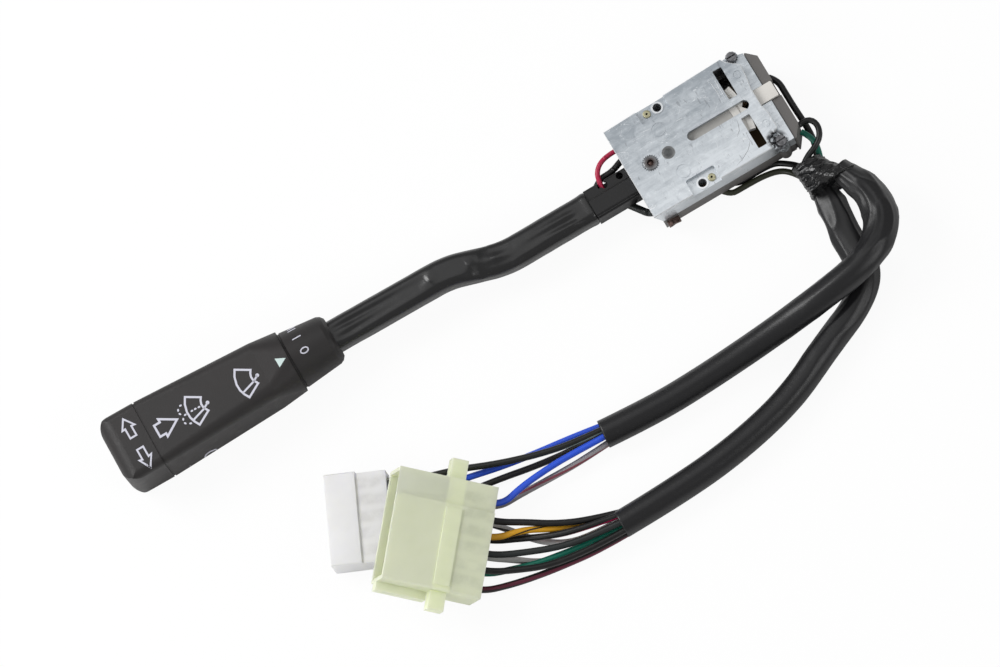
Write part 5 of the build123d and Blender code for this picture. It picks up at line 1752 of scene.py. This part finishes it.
    def _print(self, name: str, parts: Sequence[Triangles], carrier: bpy.types.Object, body: str,
               finish: Finish) -> None:
        """Lay flat triangles on the surface that they are printed on.

        Args:
            name: the new piece's name.
            parts: the drawing's triangles.
            carrier: the printed piece.
            body: the body that it rides.
            finish: its ink.
        """
        tree = BVHTree.FromPolygons([v.co for v in carrier.data.vertices], [p.vertices for p in carrier.data.polygons])
        tilt = math.radians(self.tilt)
        back = Vector((0.0, -math.cos(tilt), math.sin(tilt)))
        up = back.cross(Vector(ALONG))
        vertices: list[Vector] = []
        faces: list[tuple[int, int, int]] = []
        for triangle in (triangle for part in parts for triangle in part):
            corners = []
            for x, y in triangle:
                start = Vector(self.anchor) * MM + Vector((x, 0, 0)) * MM + up * y * MM + back * 0.2
                hit, normal, _, _ = tree.ray_cast(start, -back)
                if hit is None:
                    break
                corners.append(hit + normal * self.lift * MM)
            if len(corners) == 3:
                number = len(vertices)
                vertices += corners
                faces.append((number, number + 1, number + 2))
        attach(dress(mesh_piece(name, vertices, faces, False), finish), body)
        LOG.info("%s: %d faces", name, len(faces))


# ---------------------------------------------------------------- housing

@dataclass(frozen=True)
class Housing:
    """Metal frame, contact housing and what shows inside them."""

    finishes: dict[str, Finish] = field(default_factory=lambda: {
        "frame": Finish.ZINC,
        "contact_housing": Finish.BROWN_PLASTIC,
        "bottom_cover": Finish.BROWN_PLASTIC,
        "housing_screws": Finish.SCREW,
        "pivot_rivet": Finish.RIVET,
        "stop_stud": Finish.STUD,
        "pad_rivets": Finish.CHROMATE,
        "contact_board": Finish.BOARD,
        "fixed_contacts": Finish.BRASS,
        "solder_tags": Finish.TIN,
        "detent_track": Finish.ACETAL,
        "turn_carrier": Finish.CARRIER,
        "cam_sector": Finish.ACETAL,
        "detent_plunger": Finish.STEEL,
        "turn_bridge": Finish.BRASS,
        "lever_pin": Finish.STEEL,
        "wiper_contact_plate": Finish.BRASS,
        "wiper_drum": Finish.BLACK_PLASTIC,
        "spindle_clip": Finish.SPRING,
        "horn_contact": Finish.BRASS,
        "dip_slider": Finish.ACETAL,
        "cancel_pawl": Finish.ACETAL,
    })
    teeth: tuple[ToothRing, ...] = (
        ToothRing("rivet_stakes", (0.0, 0.0, 22.58), 3.12, 22, 0.27, 0.22, Finish.SCREW),
        ToothRing("screw_washer_low", (47.5, -18.3, 19.6), 2.36, 14, 0.28, 0.34, Finish.SCREW, 3),
        ToothRing("screw_washer_high", (47.8, 20.9, 19.6), 2.36, 14, 0.28, 0.34, Finish.SCREW, 8),
    )
    ridges: Sequence[Outline] = (
        ((35.7, 18.3), (36.0, 14.4), (36.2, 10.4), (35.9, 5.6)),
        ((37.5, 18.6), (37.7, 14.2), (37.7, 10.0), (37.6, 6.6)),
    )
    scribes: Sequence[Outline] = (
        ((37.2, -12.5), (35.9, -14.3), (34.4, -15.7), (31.3, -17.4), (27.9, -18.6)),
        ((36.9, -2.9), (36.5, -5.0), (35.6, -7.1), (33.6, -8.8)),
    )
    core: Outline = ((1.24, -1.4), (1.24, -0.5), (0.95, -0.25), (0.5, -0.12), (0.12, -0.08))
    lug_middle: Point = (-3.4, -20.9, 9.6)
    lug_size: Point = (5.2, 2.9, 1.5)

    def build(self, nodes: Nodes) -> None:
        """Dress every remaining CAD node and add the small marks and teeth.

        Args:
            nodes: the CAD nodes by name.
        """
        for name, finish in self.finishes.items():
            dress(nodes[name], finish)
            LOG.info("%s: %s", name, finish.name)
        made = [ring.build() for ring in self.teeth]
        ridges = strips("plate_ridges", self.ridges, width=0.55, low=PLATE_TOP - FOOT, high=PLATE_TOP + 0.12)
        scribes = strips("plate_scribes", self.scribes, width=0.16, low=PLATE_TOP - FOOT, high=PLATE_TOP + 0.03)
        core = lathed("rivet_core", self.core, (0.0, 0.0, PLATE_TOP))
        made += [dress(ridges, Finish.ZINC), dress(scribes, Finish.SCRIBE), dress(core, Finish.COPPER), self._lug()]
        for piece in made:
            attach(piece, "housing")

    def _lug(self) -> bpy.types.Object:
        """Make the small folded earth lug on the cable side, by the front corner.

        Returns:
            The new piece.
        """
        shape = bmesh.new()
        bmesh.ops.create_cube(shape, size=1.0)
        bmesh.ops.subdivide_edges(shape, edges=shape.edges[:], cuts=7, use_grid_fill=True)
        for vertex in shape.verts:
            x, _, z = vertex.co
            folded = 1.1 * math.exp(-(((x + 0.12) / 0.13) ** 2))
            place = Vector(self.lug_middle) + Vector(self.lug_size) * vertex.co
            place.z += folded * (z + 0.5)
            place += Vector((1, 1, 1)) * 0.22 * rumple(place * MM, 420.0, 3.0)
            vertex.co = place * MM
        return dress(shaped("earth_lug", shape), Finish.COPPER)


def main() -> None:
    """Build the scene in order."""
    logging.basicConfig(level=logging.INFO, format="%(name)s %(message)s")
    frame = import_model()
    bpy.context.scene.view_settings.view_transform = "Standard"
    nodes = frame["nodes"]
    Stage().build()
    Harness().build(nodes)
    Lever().build(nodes)
    Grip().build(nodes)
    Housing().build(nodes)
    for spring in SPRINGS:
        spring.build(nodes)
    bpy.context.view_layer.update()


if __name__ == "__main__":
    main()
